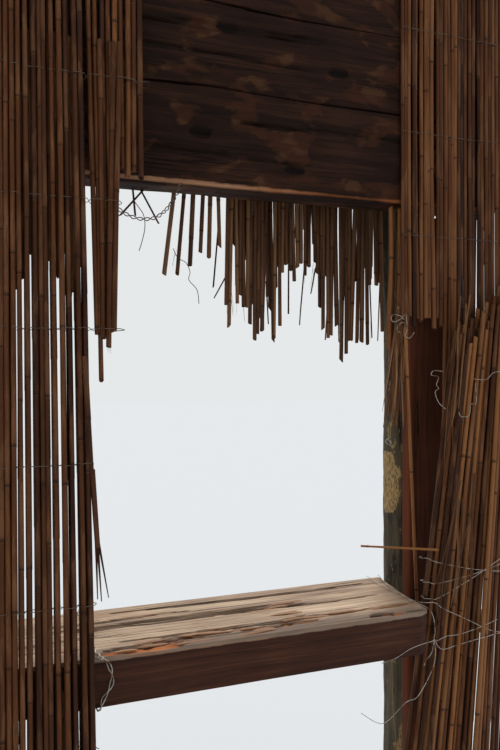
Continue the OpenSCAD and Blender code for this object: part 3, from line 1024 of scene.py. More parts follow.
@dataclass(frozen=True)
class Strays:
    """Stalks that are not part of a row: between and beside the mats, and sticks in the wire loop."""

    kinds: tuple[Stalks, ...] = (
        Stalks("stalks_beside_sheaf", 0.0043, Lay((0.1, 0.7), sway=0.0, bow=0.0006, slant=0.5), (
            ((1.092, -0.273, 0.002), (1.297, -0.144, 1.61)), ((1.103, -0.273, 0.002), (1.297, -0.153, 1.5)),
            ((1.114, -0.273, 0.002), (1.297, -0.159, 1.42)), ((1.125, -0.273, 0.002), (1.297, -0.167, 1.33)),
            ((1.136, -0.273, 0.002), (1.297, -0.172, 1.26)))),
        Stalks("stalks_behind_mat", 0.0043, Lay((0.1, 0.6), sway=0.0, bow=0.0006, slant=0.5), (
            ((1.1984, -0.1154, 1.4), (1.1984, -0.1154, 1.836)),
            ((1.2234, -0.1154, 1.37), (1.2234, -0.1154, 1.836)),
            ((1.2543, -0.1154, 1.42), (1.2543, -0.1154, 1.836)))),
        Stalks("stalks_in_slits", 0.0034, Lay((0.0, 0.4), sway=0.0, bow=0.0, slant=0.6), (
            ((0.3463, -0.2085, 1.64), (0.3463, -0.16, 2.045)),
            ((0.3685, -0.202, 1.692), (0.3685, -0.16, 2.045)),
            ((0.3963, -0.203, 1.684), (0.3963, -0.16, 2.045)),
            ((0.4096, -0.206, 1.66), (0.4096, -0.16, 2.045)),
            ((0.4328, -0.2015, 1.698), (0.4328, -0.16, 2.045)),
            ((0.3569, -0.2067, 1.655), (0.3562, -0.16, 2.045)),
            ((0.4071, -0.206, 1.66), (0.4059, -0.16, 2.045)),
            ((0.4179, -0.2016, 1.698), (0.4186, -0.16, 2.045)),
            ((0.4292, -0.2087, 1.638), (0.4288, -0.16, 2.045)),
            ((0.4407, -0.204, 1.677), (0.4425, -0.16, 2.045)))),
        Stalks("stalks_at_mat_edge", 0.0043, Lay((0.2, 0.6), sway=0.0, bow=0.001, slant=0.6), (
            ((0.48, -0.229, 1.555), (0.4975, -0.17, 2.045)),
            ((0.4885, -0.2262, 1.578), (0.5085, -0.17, 2.045)),
            ((0.4729, -0.2224, 1.568), (0.4756, -0.165, 2.045)),
            ((0.4901, -0.2107, 1.666), (0.494, -0.165, 2.045)))),
        Stalks("stalks_at_post", 0.0045, Lay((0.3, 0.8), sway=0.0, bow=0.003, slant=0.8), (
            ((1.04, -0.112, 1.56), (1.054, -0.1, 1.8365)), ((1.048, -0.104, 1.5), (1.063, -0.094, 1.8365)),
            ((1.058, -0.112, 1.48), (1.072, -0.102, 1.8365)),
            ((1.066, -0.104, 1.54), (1.081, -0.094, 1.8365)), ((1.074, -0.112, 1.57), (1.088, -0.1, 1.8365)),
            ((1.083, -0.096, 1.44), (1.094, -0.088, 1.8365)))),
        Stalks("thin_sticks", 0.0017, Lay((0.0, 0.2), sway=0.0, bow=0.0, slant=0.6), (
            ((0.5297, -0.056, 1.7905), (0.572, -0.056, 1.84)),
            ((0.5579, -0.054, 1.7935), (0.553, -0.056, 1.84)),
            ((0.6002, -0.055, 1.7821), (0.567, -0.056, 1.84)),
            ((0.9094, 0.069, 1.6367), (0.9101, 0.069, 1.7925)), ((1.01, 0.069, 1.638), (1.012, 0.069, 1.78)),
            ((0.744, 0.069, 1.688), (0.756, 0.069, 1.82)))),
        Stalks("frayed_stalk", 0.0042, Lay((0.15, 0.4), sway=0.0, bow=0.0, slant=0.3), (
            ((0.4517, -0.253, 1.37), (0.445, -0.233, 1.54)),
            ((0.4575, -0.2655, 1.262), (0.4516, -0.2526, 1.374))), taper=0.86),
        Stalks("frayed_prongs", 0.002, Lay((0.05, 0.35), sway=0.0, bow=0.0008, slant=0.2), (
            ((0.4558, -0.2755, 1.19), (0.4552, -0.264, 1.272)),
            ((0.4615, -0.2755, 1.186), (0.4576, -0.264, 1.27)),
            ((0.4717, -0.275, 1.19), (0.4592, -0.264, 1.268))), taper=0.35),
        Stalks("stalk_in_right_slit", 0.0036, Lay((0.05, 0.4), sway=0.0, bow=0.001, slant=0.5), (
            ((1.239, -0.115, 1.61), (1.243, -0.115, 1.836)),)),
        Stalks("pale_stick", 0.0019, Lay((0.9, 1.0), sway=0.0, bow=0.0, slant=0.5), (
            ((1.078, -0.222, 1.193), (0.977, -0.118, 1.185)),), taper=1.2),
        Stalks("fringe_twigs", 0.0016, Lay((0.0, 0.2), sway=0.0, bow=0.001, slant=0.6), (
            ((0.7439, 0.065, 1.6643), (0.7709, 0.069, 1.7104)),
            ((0.9337, 0.065, 1.6138), (0.9479, 0.069, 1.7482)),
            ((1.027, 0.065, 1.5791), (1.0276, 0.069, 1.6701)),
            ((0.9945, 0.065, 1.583), (1.003, 0.069, 1.6693)),
            ((1.1085, 0.065, 1.5889), (1.1038, 0.069, 1.7431)),
            ((0.8626, 0.065, 1.6144), (0.8594, 0.069, 1.7019)),
            ((0.9606, 0.065, 1.6824), (0.9732, 0.069, 1.7367)),
            ((1.1231, 0.065, 1.5825), (1.1316, 0.069, 1.7223))), taper=0.8))

    def build(self, work: ReedWork, finish: bpy.types.Material) -> None:
        """Lays the stalks."""
        for stalks in self.kinds:
            work.set_on(stalks.name, stalks.rods(), stalks.lay, finish)


@dataclass(frozen=True)
class Crack:
    """A crack, bite or knot in one face of a timber, in metres along the grain and across it."""

    face: Face
    start: float
    end: float
    across: float
    width: float = 0.0045
    wander: float = 0.004
    attribute: str = "crack"
    facing: float = 0.5

    def weights(self, along: numpy.ndarray, over: numpy.ndarray) -> numpy.ndarray:
        """How deep each vertex of the face sinks.

        Args:
            along: each vertex's place along the grain.
            over: its place across it.

        Returns:
            1 in the crack's middle, 0 beyond its sides.
        """
        share = numpy.clip((along - self.start) / (self.end - self.start), 0.0, 1.0)
        line = self.across + self.wander * (numpy.sin(share * 7.0 + self.start * 40.0)
                                            + 0.4 * numpy.sin(share * 23.0 + self.across * 90.0))
        half = self.width * numpy.sin(math.pi * share) ** 0.5
        return numpy.clip(1.0 - numpy.abs(over - line) / numpy.maximum(half, 1e-6), 0.0, 1.0)


@dataclass
class Timber:
    """A sculpted timber: the CAD piece's own form, with hewn faces that run along the grain."""

    node: str
    grain: Axis
    voxel: float = 0.006
    relief: float = 0.004
    ripple: float = 0.09
    stretch: float = 0.16
    cracks: tuple[Crack, ...] = ()
    crack_depth: float = 0.006
    flat: tuple[str, ...] = ("lichen", "edge")
    level: float = 0.62
    finer: float = 5.0
    shallower: float = 3.0
    sharp: float = 35.0

    def build(self, material: bpy.types.Material, slot: Slot) -> None:
        """Copies the CAD form, gives it an even mesh, and works its faces.

        Args:
            material: the timber's finish.
            slot: the record's slot.
        """
        name = f"{self.node}_dressed"
        piece = copy_of(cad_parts[self.node].data, name)
        edit(piece)
        bpy.ops.mesh.select_all(action="SELECT")
        bpy.ops.mesh.remove_doubles(threshold=0.01 * MILLIMETRE)
        bpy.ops.object.mode_set(mode="OBJECT")
        remesh = piece.modifiers.new("even", "REMESH")
        remesh.mode = "VOXEL"
        remesh.voxel_size = self.voxel
        apply_modifiers(piece)
        self.hew(piece)
        if self.cracks:
            self.split(piece)
        dress(name, [piece], self.sharp, material, slot, self.node)

    def hew(self, piece: bpy.types.Object) -> None:
        """Works the faces in long facets along the grain.

        Args:
            piece: the evenly meshed timber.
        """
        squeeze = [self.stretch if axis is self.grain else 1.0 for axis in Axis]
        select_only(piece)
        bpy.ops.transform.resize(value=squeeze)
        bpy.ops.object.transform_apply(location=False, rotation=False, scale=True)
        for size, depth in ((self.ripple, self.relief),
                            (self.ripple / self.finer, self.relief / self.shallower)):
            pattern = bpy.data.textures.new(f"{self.node}_hewn", "CLOUDS")
            pattern.noise_scale = size
            pattern.noise_depth = 2
            displace = piece.modifiers.new("hewn", "DISPLACE")
            displace.texture = pattern
            displace.texture_coords = "LOCAL"
            displace.strength = depth
            displace.mid_level = self.level
        apply_modifiers(piece)
        bpy.ops.transform.resize(value=[1.0 / s for s in squeeze])
        bpy.ops.object.transform_apply(location=False, rotation=False, scale=True)

    def split(self, piece: bpy.types.Object) -> None:
        """Sinks the cracks into the faces, and marks them for the finish.

        Args:
            piece: the timber, already hewn.
        """
        count = len(piece.data.vertices)
        places, normals = numpy.empty(count * 3), numpy.empty(count * 3)
        piece.data.vertices.foreach_get("co", places)
        piece.data.vertices.foreach_get("normal", normals)
        places, normals = places.reshape(count, 3), normals.reshape(count, 3)
        marks: dict[str, numpy.ndarray] = {}
        for crack in self.cracks:
            look = Vector(crack.face.value)
            over = next(a.value for a in Axis if a is not self.grain and abs(look[a.value]) < 0.5)
            weights = crack.weights(places[:, self.grain.value], places[:, over])
            weights *= normals @ numpy.array(look) > crack.facing
            marks[crack.attribute] = numpy.maximum(marks.get(crack.attribute, 0.0), weights)
        for name, weights in marks.items():
            mark(piece, name, weights)
        depth = numpy.maximum.reduce([w for name, w in marks.items() if name not in self.flat])
        group = piece.vertex_groups.new(name="sunk")
        for i in numpy.nonzero(depth)[0]:
            group.add([int(i)], float(depth[i]), "REPLACE")
        sink = piece.modifiers.new("sunk", "DISPLACE")
        sink.vertex_group = group.name
        sink.mid_level = 0.0
        sink.strength = -self.crack_depth
        apply_modifiers(piece)


def drying_cracks(face: Face, count: int, along: tuple[float, float], across: tuple[float, float],
                  lengths: tuple[float, float], seed: int, widths: tuple[float, float] = (0.005, 0.0075)
                  ) -> tuple[Crack, ...]:
    """Scatters drying cracks over one face.

    Args:
        face: the face that they are in.
        count: how many.
        along: where the face starts and ends along the grain.
        across: where it starts and ends across the grain.
        lengths: the shortest and the longest crack.
        seed: seeds the scatter.
        widths: the narrowest and the widest crack, from its middle to its side.

    Returns:
        The cracks.
    """
    chance = random.Random(seed)
    cracks = []
    for _ in range(count):
        length = chance.uniform(*lengths)
        start = chance.uniform(along[0], max(along[0], along[1] - length))
        cracks.append(Crack(face, start, start + length, chance.uniform(*across),
                            width=chance.uniform(*widths), wander=chance.uniform(0.001, 0.004)))
    return tuple(cracks)


def wall_cracks(node: str, grain: Axis, count: int, margin: float, lengths: tuple[float, float],
                *seeds: int) -> tuple[Crack, ...]:
    """Scatters drying cracks over a timber's inner face, then over its outer face.

    Args:
        node: the CAD node.
        grain: the axis that it runs along.
        count: how many cracks each face has.
        margin: how far they stay from the face's sides.
        lengths: the shortest and the longest crack.
        seeds: the inner face's seed, and the outer face's if that has cracks too.

    Returns:
        The cracks.
    """
    low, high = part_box(node)
    way, side = grain.value, Axis.X.value if grain is Axis.Z else Axis.Z.value
    cracks: tuple[Crack, ...] = ()
    for face, seed in zip((Face.INNER, Face.OUTER), seeds):
        cracks += drying_cracks(face, count, (low[way], high[way]), (low[side] + margin, high[side] - margin),
                                lengths, seed)
    return cracks


@dataclass
class Timbers:
    """Posts, plate, header slabs, jamb boards, sill, rail and threshold."""

    post: PostFinish = PostFinish("post_bark", Axis.Z, dark=(0.034, 0.027, 0.016),
                                  middle=(0.078, 0.062, 0.036), pale=(0.165, 0.135, 0.08))
    # The header's near-black colours are partly the wood's own dark brown and partly painted shade.
    header: HeaderFinish = HeaderFinish("header_slab", Axis.X, dark=(0.007, 0.003, 0.002),
                                        middle=(0.018, 0.007, 0.004), pale=(0.048, 0.018, 0.01), specular=0.1,
                                        relief=2.2)
    plate: TimberFinish = TimberFinish("plate_wood", Axis.X, dark=(0.03, 0.017, 0.011),
                                       middle=(0.075, 0.042, 0.026), pale=(0.15, 0.095, 0.06))
    jamb: JambFinish = JambFinish("jamb_wood", Axis.Z, dark=(0.024, 0.008, 0.004),
                                  middle=(0.06, 0.018, 0.008), pale=(0.125, 0.041, 0.018), specular=0.1)
    sill: SillFinish = SillFinish("sill_wood", Axis.X, dark=(0.02, 0.007, 0.004), middle=(0.05, 0.017, 0.009),
                                  pale=(0.1, 0.037, 0.018), crack_share=0.3, specular=0.16, relief=1.2)
    rail: TimberFinish = TimberFinish("rail_wood", Axis.X, dark=(0.06, 0.045, 0.028),
                                      middle=(0.13, 0.1, 0.062), pale=(0.23, 0.185, 0.12))
    lath: TimberFinish = TimberFinish("lath_wood", Axis.X, dark=(0.09, 0.058, 0.032),
                                      middle=(0.19, 0.125, 0.07), pale=(0.32, 0.23, 0.14))
    knots: tuple[tuple[float, float], ...] = (
        (0.66, 1.935), (0.84, 1.885), (0.93, 2.075), (0.71, 2.125), (0.2, 1.92), (1.12, 2.22), (0.42, 2.06))
    lichen_spots: tuple[tuple[float, float, float, float], ...] = (
        (1.215, 1.35, 0.004, 0.018), (1.27, 1.4, 0.026, 0.008), (0.7, 0.78, 0.015, 0.01),
        (0.93, 0.985, 0.006, 0.006))
    bites: tuple[tuple[float, float, float, float], ...] = (
        (0.462, 0.6, 0.01, 0.015), (0.545, 0.68, 0.03, 0.009), (0.6, 0.715, 0.044, 0.006),
        (0.69, 0.83, 0.026, 0.008), (0.77, 0.9, 0.046, 0.006), (0.915, 0.99, 0.01, 0.008))

    def build(self) -> None:
        """Builds and dresses the timbers."""
        post, header, plate = self.post.material(), self.header.material(), self.plate.material()
        jamb = self.jamb.material()
        for number, node in enumerate(("left_post", "right_post")):
            cracks = wall_cracks(node, Axis.Z, 5, 0.02, (0.4, 1.1), 50 + number, 55 + number)
            cracks += tuple(
                Crack(Face.INNER, start, end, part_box(node)[0][0] + aside, width=width, wander=0.003,
                      attribute="lichen", facing=-0.3)
                for start, end, aside, width in self.lichen_spots)
            Timber(node, Axis.Z, voxel=0.0055, relief=0.005, ripple=0.05, stretch=0.3, cracks=cracks,
                   crack_depth=0.003).build(post, Slot.POST)
        for number, node in enumerate(("header_lower_slab", "header_middle_slab", "header_upper_slab")):
            low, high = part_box(node)
            cracks = wall_cracks(node, Axis.X, 3, 0.03, (0.3, 0.8), 60 + number, 70 + number)
            cracks += tuple(
                Crack(Face.INNER, x - 0.022, x + 0.022, z, width=0.016, wander=0.0, attribute="knot")
                for x, z in self.knots if low[2] < z < high[2])
            Timber(node, Axis.X, voxel=0.0045, relief=0.006, ripple=0.06, stretch=0.3, cracks=cracks).build(
                header, Slot.HEADER)
        Timber("wall_plate", Axis.X, voxel=0.008).build(plate, Slot.HEADER)
        Timber("threshold_beam", Axis.X, voxel=0.009).build(plate, Slot.HEADER)
        for number, node in enumerate(("left_jamb_board", "right_jamb_board")):
            low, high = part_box(node)
            cracks = wall_cracks(node, Axis.Z, 3, 0.02, (0.3, 0.9), 80 + number)
            edge = low[0] if number else high[0]
            # The "edge" band beside the opening, which the jamb finish paints as sunlit.
            cracks += (Crack(Face.INNER, low[2] - 0.1, high[2] + 0.1, edge, width=0.012, wander=0.001,
                             attribute="edge", facing=-0.5),)
            Timber(node, Axis.Z, voxel=0.005, relief=0.003, cracks=cracks, crack_depth=0.004).build(
                jamb, Slot.BOARD)
        self.build_sill()
        Timber("sill_rail", Axis.X, voxel=0.006, relief=0.003).build(self.rail.material(), Slot.POST)
        lath = self.lath.material()
        for node in ("left_mat_lath", "left_skirt_lath", "right_mat_lath", "outer_upper_lath",
                     "outer_lower_lath"):
            Timber(node, Axis.X, voxel=0.004, relief=0.0015, ripple=0.04).build(lath, Slot.LATH)

    def build_sill(self) -> None:
        """Builds the sill: its top pale, partly weathered and partly painted sunlight, checked along its top,
        with bites torn out along its inner arris.
        """
        low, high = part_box("sill_beam")
        cracks = drying_cracks(Face.TOP, 6, (0.3, high[0]), (low[1] + 0.03, high[1] - 0.01), (0.25, 0.6),
                               seed=91, widths=(0.0042, 0.0058))
        for start, end, inward, width in self.bites:
            across = low[1] + inward
            cracks += (Crack(Face.TOP, start, end, across, width=width, wander=0.002, attribute="bare",
                             facing=0.2),
                       Crack(Face.TOP, start + 0.006, end - 0.02, across + 0.7 * width, width=0.005,
                             wander=0.002))
        Timber("sill_beam", Axis.X, voxel=0.0034, relief=0.0016, ripple=0.08, stretch=0.15, cracks=cracks,
               crack_depth=0.007).build(self.sill.material(), Slot.SILL)


def curved(points: Sequence[Place], steps: int = 8) -> list[Vector]:
    """Draws a smooth line through places.

    Args:
        points: the places, in metres.
        steps: how many points there are from one place to the next.

    Returns:
        The line's points.
    """
    places = [Vector(p) for p in (points[0], *points, points[-1])]
    line = []
    for before, start, end, after in zip(places, places[1:], places[2:], places[3:]):
        for step in range(steps):
            t = step / steps
            line.append(0.5 * (2 * start + (end - before) * t
                               + (2 * before - 5 * start + 4 * end - after) * t ** 2
                               + (3 * start - before - 3 * end + after) * t ** 3))
    line.append(places[-1])
    return line


@dataclass
class LooseWires:
    """Wires that have gone slack: the header's loop, the sill's lashing, the sheaf's tie and the curls."""

    works: WireWork
    dark: WireWork
    pitch: float = 0.024
    gap: float = 0.005
    strand: float = 0.0009
    thin: float = 0.0006
    clear: float = 0.0008
    lean: float = 0.0785
    loop: tuple[Place, ...] = (
        (0.49, -0.1206, 1.852), (0.494, -0.124, 1.815), (0.512, -0.128, 1.789), (0.532, -0.13, 1.7765),
        (0.5535, -0.13, 1.7725), (0.577, -0.13, 1.777), (0.597, -0.128, 1.794), (0.613, -0.124, 1.818),
        (0.624, -0.1185, 1.842))
    bulge: tuple[Place, ...] = (
        (0.459, -0.0455, 1.1012), (0.46, -0.15, 1.102), (0.4585, -0.259, 1.1035), (0.47, -0.268, 1.096),
        (0.477, -0.2685, 1.078), (0.477, -0.267, 1.06), (0.466, -0.265, 1.04), (0.46, -0.261, 1.0225),
        (0.46, -0.2, 1.019), (0.46, -0.1275, 0.999), (0.46, -0.116, 0.98), (0.46, -0.09, 0.9782),
        (0.46, -0.07, 0.993), (0.46, -0.0455, 1.022), (0.459, -0.0455, 1.1012))
    end_wires: tuple[tuple[Place, ...], ...] = (
        ((1.056, -0.048, 1.104), (1.038, -0.12, 1.103), (1.03, -0.2, 1.1025), (1.033, -0.26, 1.101),
         (1.04, -0.265, 1.07), (1.052, -0.245, 1.043), (1.044, -0.25, 1.022), (1.033, -0.248, 1.008),
         (1.032, -0.244, 0.998)),
        ((1.03, -0.048, 1.104), (1.028, -0.13, 1.103), (1.036, -0.215, 1.102), (1.064, -0.23, 1.101),
         (1.085, -0.226, 1.087), (1.1385, -0.223, 1.06), (1.1928, -0.222, 1.0326), (1.2275, -0.222, 1.0243)),
        ((1.052, -0.245, 1.043), (1.07, -0.23, 1.0323), (1.09, -0.229, 1.0369), (1.1206, -0.228, 1.0365),
         (1.17, -0.224, 1.042), (1.2108, -0.22, 1.05)),
        ((1.052, -0.245, 1.043), (1.0799, -0.229, 1.0151), (1.115, -0.229, 1.018), (1.1459, -0.228, 1.0208),
         (1.2142, -0.226, 1.0267)),
        ((1.052, -0.245, 1.043), (1.06, -0.238, 1.01), (1.0515, -0.238, 0.982), (1.0202, -0.242, 0.9444),
         (1.03, -0.19, 0.91), (1.015, -0.15, 0.86), (1.0066, -0.125, 0.848), (0.9761, -0.12, 0.8689)),
        ((0.935, -0.262, 1.0225), (0.9625, -0.2625, 1.0278), (0.99, -0.2625, 1.039),
         (1.0156, -0.2625, 1.0445), (1.0403, -0.256, 1.044), (1.052, -0.245, 1.043)))
    curls: tuple[tuple[Place, ...], ...] = (
        ((1.0606, -0.135, 1.6156), (1.0506, -0.1415, 1.6213), (1.0351, -0.14, 1.6247),
         (1.0307, -0.138, 1.6172), (1.0351, -0.1415, 1.6103), (1.0484, -0.144, 1.6163),
         (1.0595, -0.144, 1.6261), (1.0617, -0.144, 1.6109), (1.0635, -0.142, 1.5937),
         (1.059, -0.1415, 1.5851), (1.0706, -0.14, 1.5804), (1.0848, -0.134, 1.5916)),
        ((1.064, -0.135, 1.603), (1.056, -0.1415, 1.61), (1.046, -0.143, 1.606), (1.042, -0.1415, 1.596),
         (1.05, -0.14, 1.59)),
        ((1.118, -0.18, 1.518), (1.1109, -0.185, 1.517), (1.0909, -0.189, 1.5181), (1.0851, -0.19, 1.51),
         (1.102, -0.188, 1.5062), (1.0964, -0.19, 1.492), (1.102, -0.189, 1.4848), (1.0935, -0.19, 1.4778),
         (1.102, -0.189, 1.4586), (1.1199, -0.185, 1.4459)),
        ((1.1824, -0.187, 1.5022), (1.2106, -0.188, 1.5009), (1.2284, -0.187, 1.5133),
         (1.2498, -0.186, 1.5172)),
        ((1.1861, -0.188, 1.4944), (1.1852, -0.191, 1.4573), (1.1734, -0.191, 1.4537),
         (1.1676, -0.193, 1.4333), (1.15, -0.193, 1.4312), (1.1448, -0.192, 1.4399)),
        ((1.0501, -0.105, 1.3885), (1.0366, -0.109, 1.3818), (1.044, -0.109, 1.3741),
         (1.0496, -0.108, 1.3788), (1.0411, -0.107, 1.3842)))
    tie_slopes: tuple[tuple[float, float], ...] = ((0.012, 0.0), (-0.02, 0.012), (0.034, -0.008))

    def build(self) -> None:
        """Bends the wires and dresses them."""
        works = self.works
        self.dark.join("header_wire_loop_dressed", self.twisted(curved(self.loop, 10), self.pitch),
                       "header_wire_loop")
        lashing = self.twisted(curved(self.bulge), 2.0 * self.pitch)
        works.join("sill_lashing_dressed", lashing, "sill_lashing")
        works.join("right_sheaf_tie_dressed", self.tie(), "right_sheaf_tie")
        loose = [works.wire(curved(line), self.thin) for line in (*self.end_wires, *self.curls)]
        works.join("loose_wire_ends", loose)

    def twisted(self, line: list[Vector], pitch: float) -> list[bpy.types.Object]:
        """Two strands twisted round each other along a line.

        Args:
            line: the line that they follow.
            pitch: the length of one full turn.

        Returns:
            The two strands.
        """
        strands = []
        for side in (0.0, math.pi):
            gone, points = 0.0, []
            for i, place in enumerate(line):
                ahead = (line[min(i + 1, len(line) - 1)] - line[max(i - 1, 0)]).normalized()
                gone += (place - line[i - 1]).length if i else 0.0
                aside = ahead.orthogonal().normalized()
                turn = side + math.tau * gone / pitch
                out = aside * math.cos(turn) + ahead.cross(aside) * math.sin(turn)
                points.append(place + out * self.gap / 2)
            strands.append(self.works.wire(points, self.strand))
        return strands

    def tie(self) -> list[bpy.types.Object]:
        """Three slack turns round the sheaf, each on its own slope.

        Returns:
            The turns.
        """
        low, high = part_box("right_sheaf_tie")
        half = (high[1] - low[1]) / 2
        middle = (low[1] + high[1]) / 2
        centre, reach = (low[0] + high[0]) / 2, (high[0] - low[0]) / 2
        outline = ((-1.0, 0.0), (-0.96, -0.7), (-0.8, -1.0), (0.0, -1.05), (0.8, -1.0), (0.96, -0.7),
                   (1.0, 0.0), (0.96, 0.7), (0.8, 1.0), (0.0, 1.05), (-0.8, 1.0), (-0.96, 0.7), (-1.0, 0.0))
        turns = []
        for slope, drop in self.tie_slopes:
            line = []
            for i, (aside, out) in enumerate(outline):
                z = high[2] + drop + slope * aside + 0.003 * math.sin(1.7 * i + 9.0 * slope)
                y = middle + (half + self.clear) * out + self.lean * (z - high[2])
                line.append((centre + reach * aside, y, z))
            turns.append(self.works.wire(curved(line, 6), self.thin))
        return turns


@dataclass
class StripPattern:
    """Models a torn strip of reed sheath once: thin, bent along its length and pointed at its end."""

    bends: tuple[float, ...]
    width: float = 0.0042
    thickness: float = 0.0006
    step: float = 0.025
    narrower: float = 0.92
    tip: float = 0.35

    def model(self, name: str) -> bpy.types.Object:
        """Extrudes the strip up Z from the origin, one bend at a time.

        Args:
            name: the pattern's name.

        Returns:
            The pattern.
        """
        bpy.ops.object.select_all(action="DESELECT")
        bpy.ops.mesh.primitive_cube_add(size=1.0, location=(0.0, 0.0, self.step / 2))
        strip = bpy.context.object
        strip.name = name
        strip.scale = (self.width, self.thickness, self.step)
        bpy.ops.object.transform_apply(location=True, rotation=False, scale=True)
        pick_faces(strip, lambda face: face.normal.z > UPWARD)
        for i, bend in enumerate(self.bends):
            bpy.ops.mesh.extrude_region_move(TRANSFORM_OT_translate={"value": (bend, bend / 2, self.step)})
            narrow = self.tip if i == len(self.bends) - 1 else self.narrower
            bpy.ops.transform.resize(value=(narrow, 1.0, 1.0))
        bpy.ops.object.mode_set(mode="OBJECT")
        mark(strip, "rise", 0.0)
        return strip


@dataclass(frozen=True)
class Frill:
    """A handful of torn strips: from where they hang or stick out, to where they end."""

    count: int
    root: Place
    tip: Place
    spread: float
    scatter: float


@dataclass
class Sheaths:
    """Torn sheath strips that fray off the reeds, and the few dry stalks that are caught among them."""

    patterns: list[bpy.types.Object]
    works: WireWork
    seed: int = 21
    frills: tuple[Frill, ...] = (
        Frill(26, (1.066, -0.12, 1.64), (1.053, -0.114, 1.42), 0.013, 0.012),
        Frill(4, (1.066, -0.128, 1.76), (1.062, -0.124, 1.56), 0.008, 0.01),
        Frill(5, (0.478, -0.226, 1.585), (0.478, -0.229, 1.545), 0.012, 0.005),
        Frill(10, (1.18, -0.15, 1.6), (1.13, -0.186, 1.4), 0.03, 0.03),
        Frill(8, (1.15, -0.215, 1.3), (1.1, -0.235, 1.08), 0.03, 0.024),
        Frill(4, (0.662, 0.068, 1.76), (0.655, 0.068, 1.722), 0.006, 0.005),
        Frill(5, (0.8, 0.068, 1.69), (0.8, 0.068, 1.625), 0.03, 0.008),
        Frill(5, (0.965, 0.068, 1.748), (0.965, 0.068, 1.692), 0.025, 0.005),
        Frill(5, (1.08, 0.068, 1.64), (1.08, 0.068, 1.59), 0.03, 0.006),
        Frill(8, (0.2, -0.298, 0.9), (0.205, -0.298, 0.83), 0.2, 0.016))
    fibres: tuple[tuple[float, tuple[Place, ...]], ...] = (
        (0.0, ((0.5536, -0.056, 1.84), (0.5554, -0.056, 1.8199), (0.5716, -0.057, 1.7963),
               (0.5745, -0.057, 1.7725), (0.5692, -0.057, 1.7472), (0.5642, -0.056, 1.7309))),
        (0.0, ((0.66, 0.069, 1.76), (0.67, 0.07, 1.742), (0.6867, 0.07, 1.733),
               (0.695, 0.07, 1.715), (0.6929, 0.07, 1.699), (0.7096, 0.07, 1.6797),
               (0.7138, 0.07, 1.6517))),
        (0.9, ((1.036, -0.1272, 0.99), (1.046, -0.118, 0.93), (1.052, -0.112, 0.86),
               (1.064, -0.108, 0.765))))
    fibre_radius: float = 0.0007
    depth: float = 0.004
    sharp: float = 50.0

    def build(self, finish: bpy.types.Material) -> None:
        """Copies the patterns into every frill, joins them and dresses them.

        Args:
            finish: the strips' material.
        """
        chance = random.Random(self.seed)
        strips = []
        for frill in self.frills:
            for _ in range(frill.count):
                aside = chance.uniform(-frill.spread, frill.spread)
                root = Vector(frill.root) + Vector((aside, chance.uniform(-self.depth, self.depth),
                                                    chance.gauss(0.0, frill.scatter)))
                tip = Vector(frill.tip) + Vector((aside + chance.gauss(0.0, frill.scatter / 2),
                                                  chance.gauss(0.0, self.depth),
                                                  chance.gauss(0.0, frill.scatter)))
                strips.append(self.copy(chance, root, tip))
        for tone, line in self.fibres:
            fibre = self.works.wire(curved(line), self.fibre_radius)
            mark(fibre, "tone", tone)
            strips.append(fibre)
        dress("torn_sheaths", strips, self.sharp, finish, Slot.REED)

    def copy(self, chance: random.Random, root: Vector, tip: Vector) -> bpy.types.Object:
        """One strip from its root to its tip.

        Args:
            chance: the frills' random numbers.
            root: where it is still fast.
            tip: where it ends.

        Returns:
            The strip.
        """
        strip = copy_of(chance.choice(self.patterns).data, "strip")
        line = (tip - root).to_track_quat("Z", "Y")
        spin = Matrix.Rotation(chance.uniform(0.0, math.tau), 3, "Z")
        size = (tip - root).length / max(v.co.z for v in strip.data.vertices)
        broad = size * chance.uniform(0.5, 1.0)
        for vertex in strip.data.vertices:
            bend = Vector((vertex.co.x * broad, vertex.co.y * broad, 0.0))
            vertex.co = root + line @ (spin @ bend + Vector((0.0, 0.0, vertex.co.z * size)))
        mark(strip, "tone", chance.uniform(0.25, 0.95))
        return strip


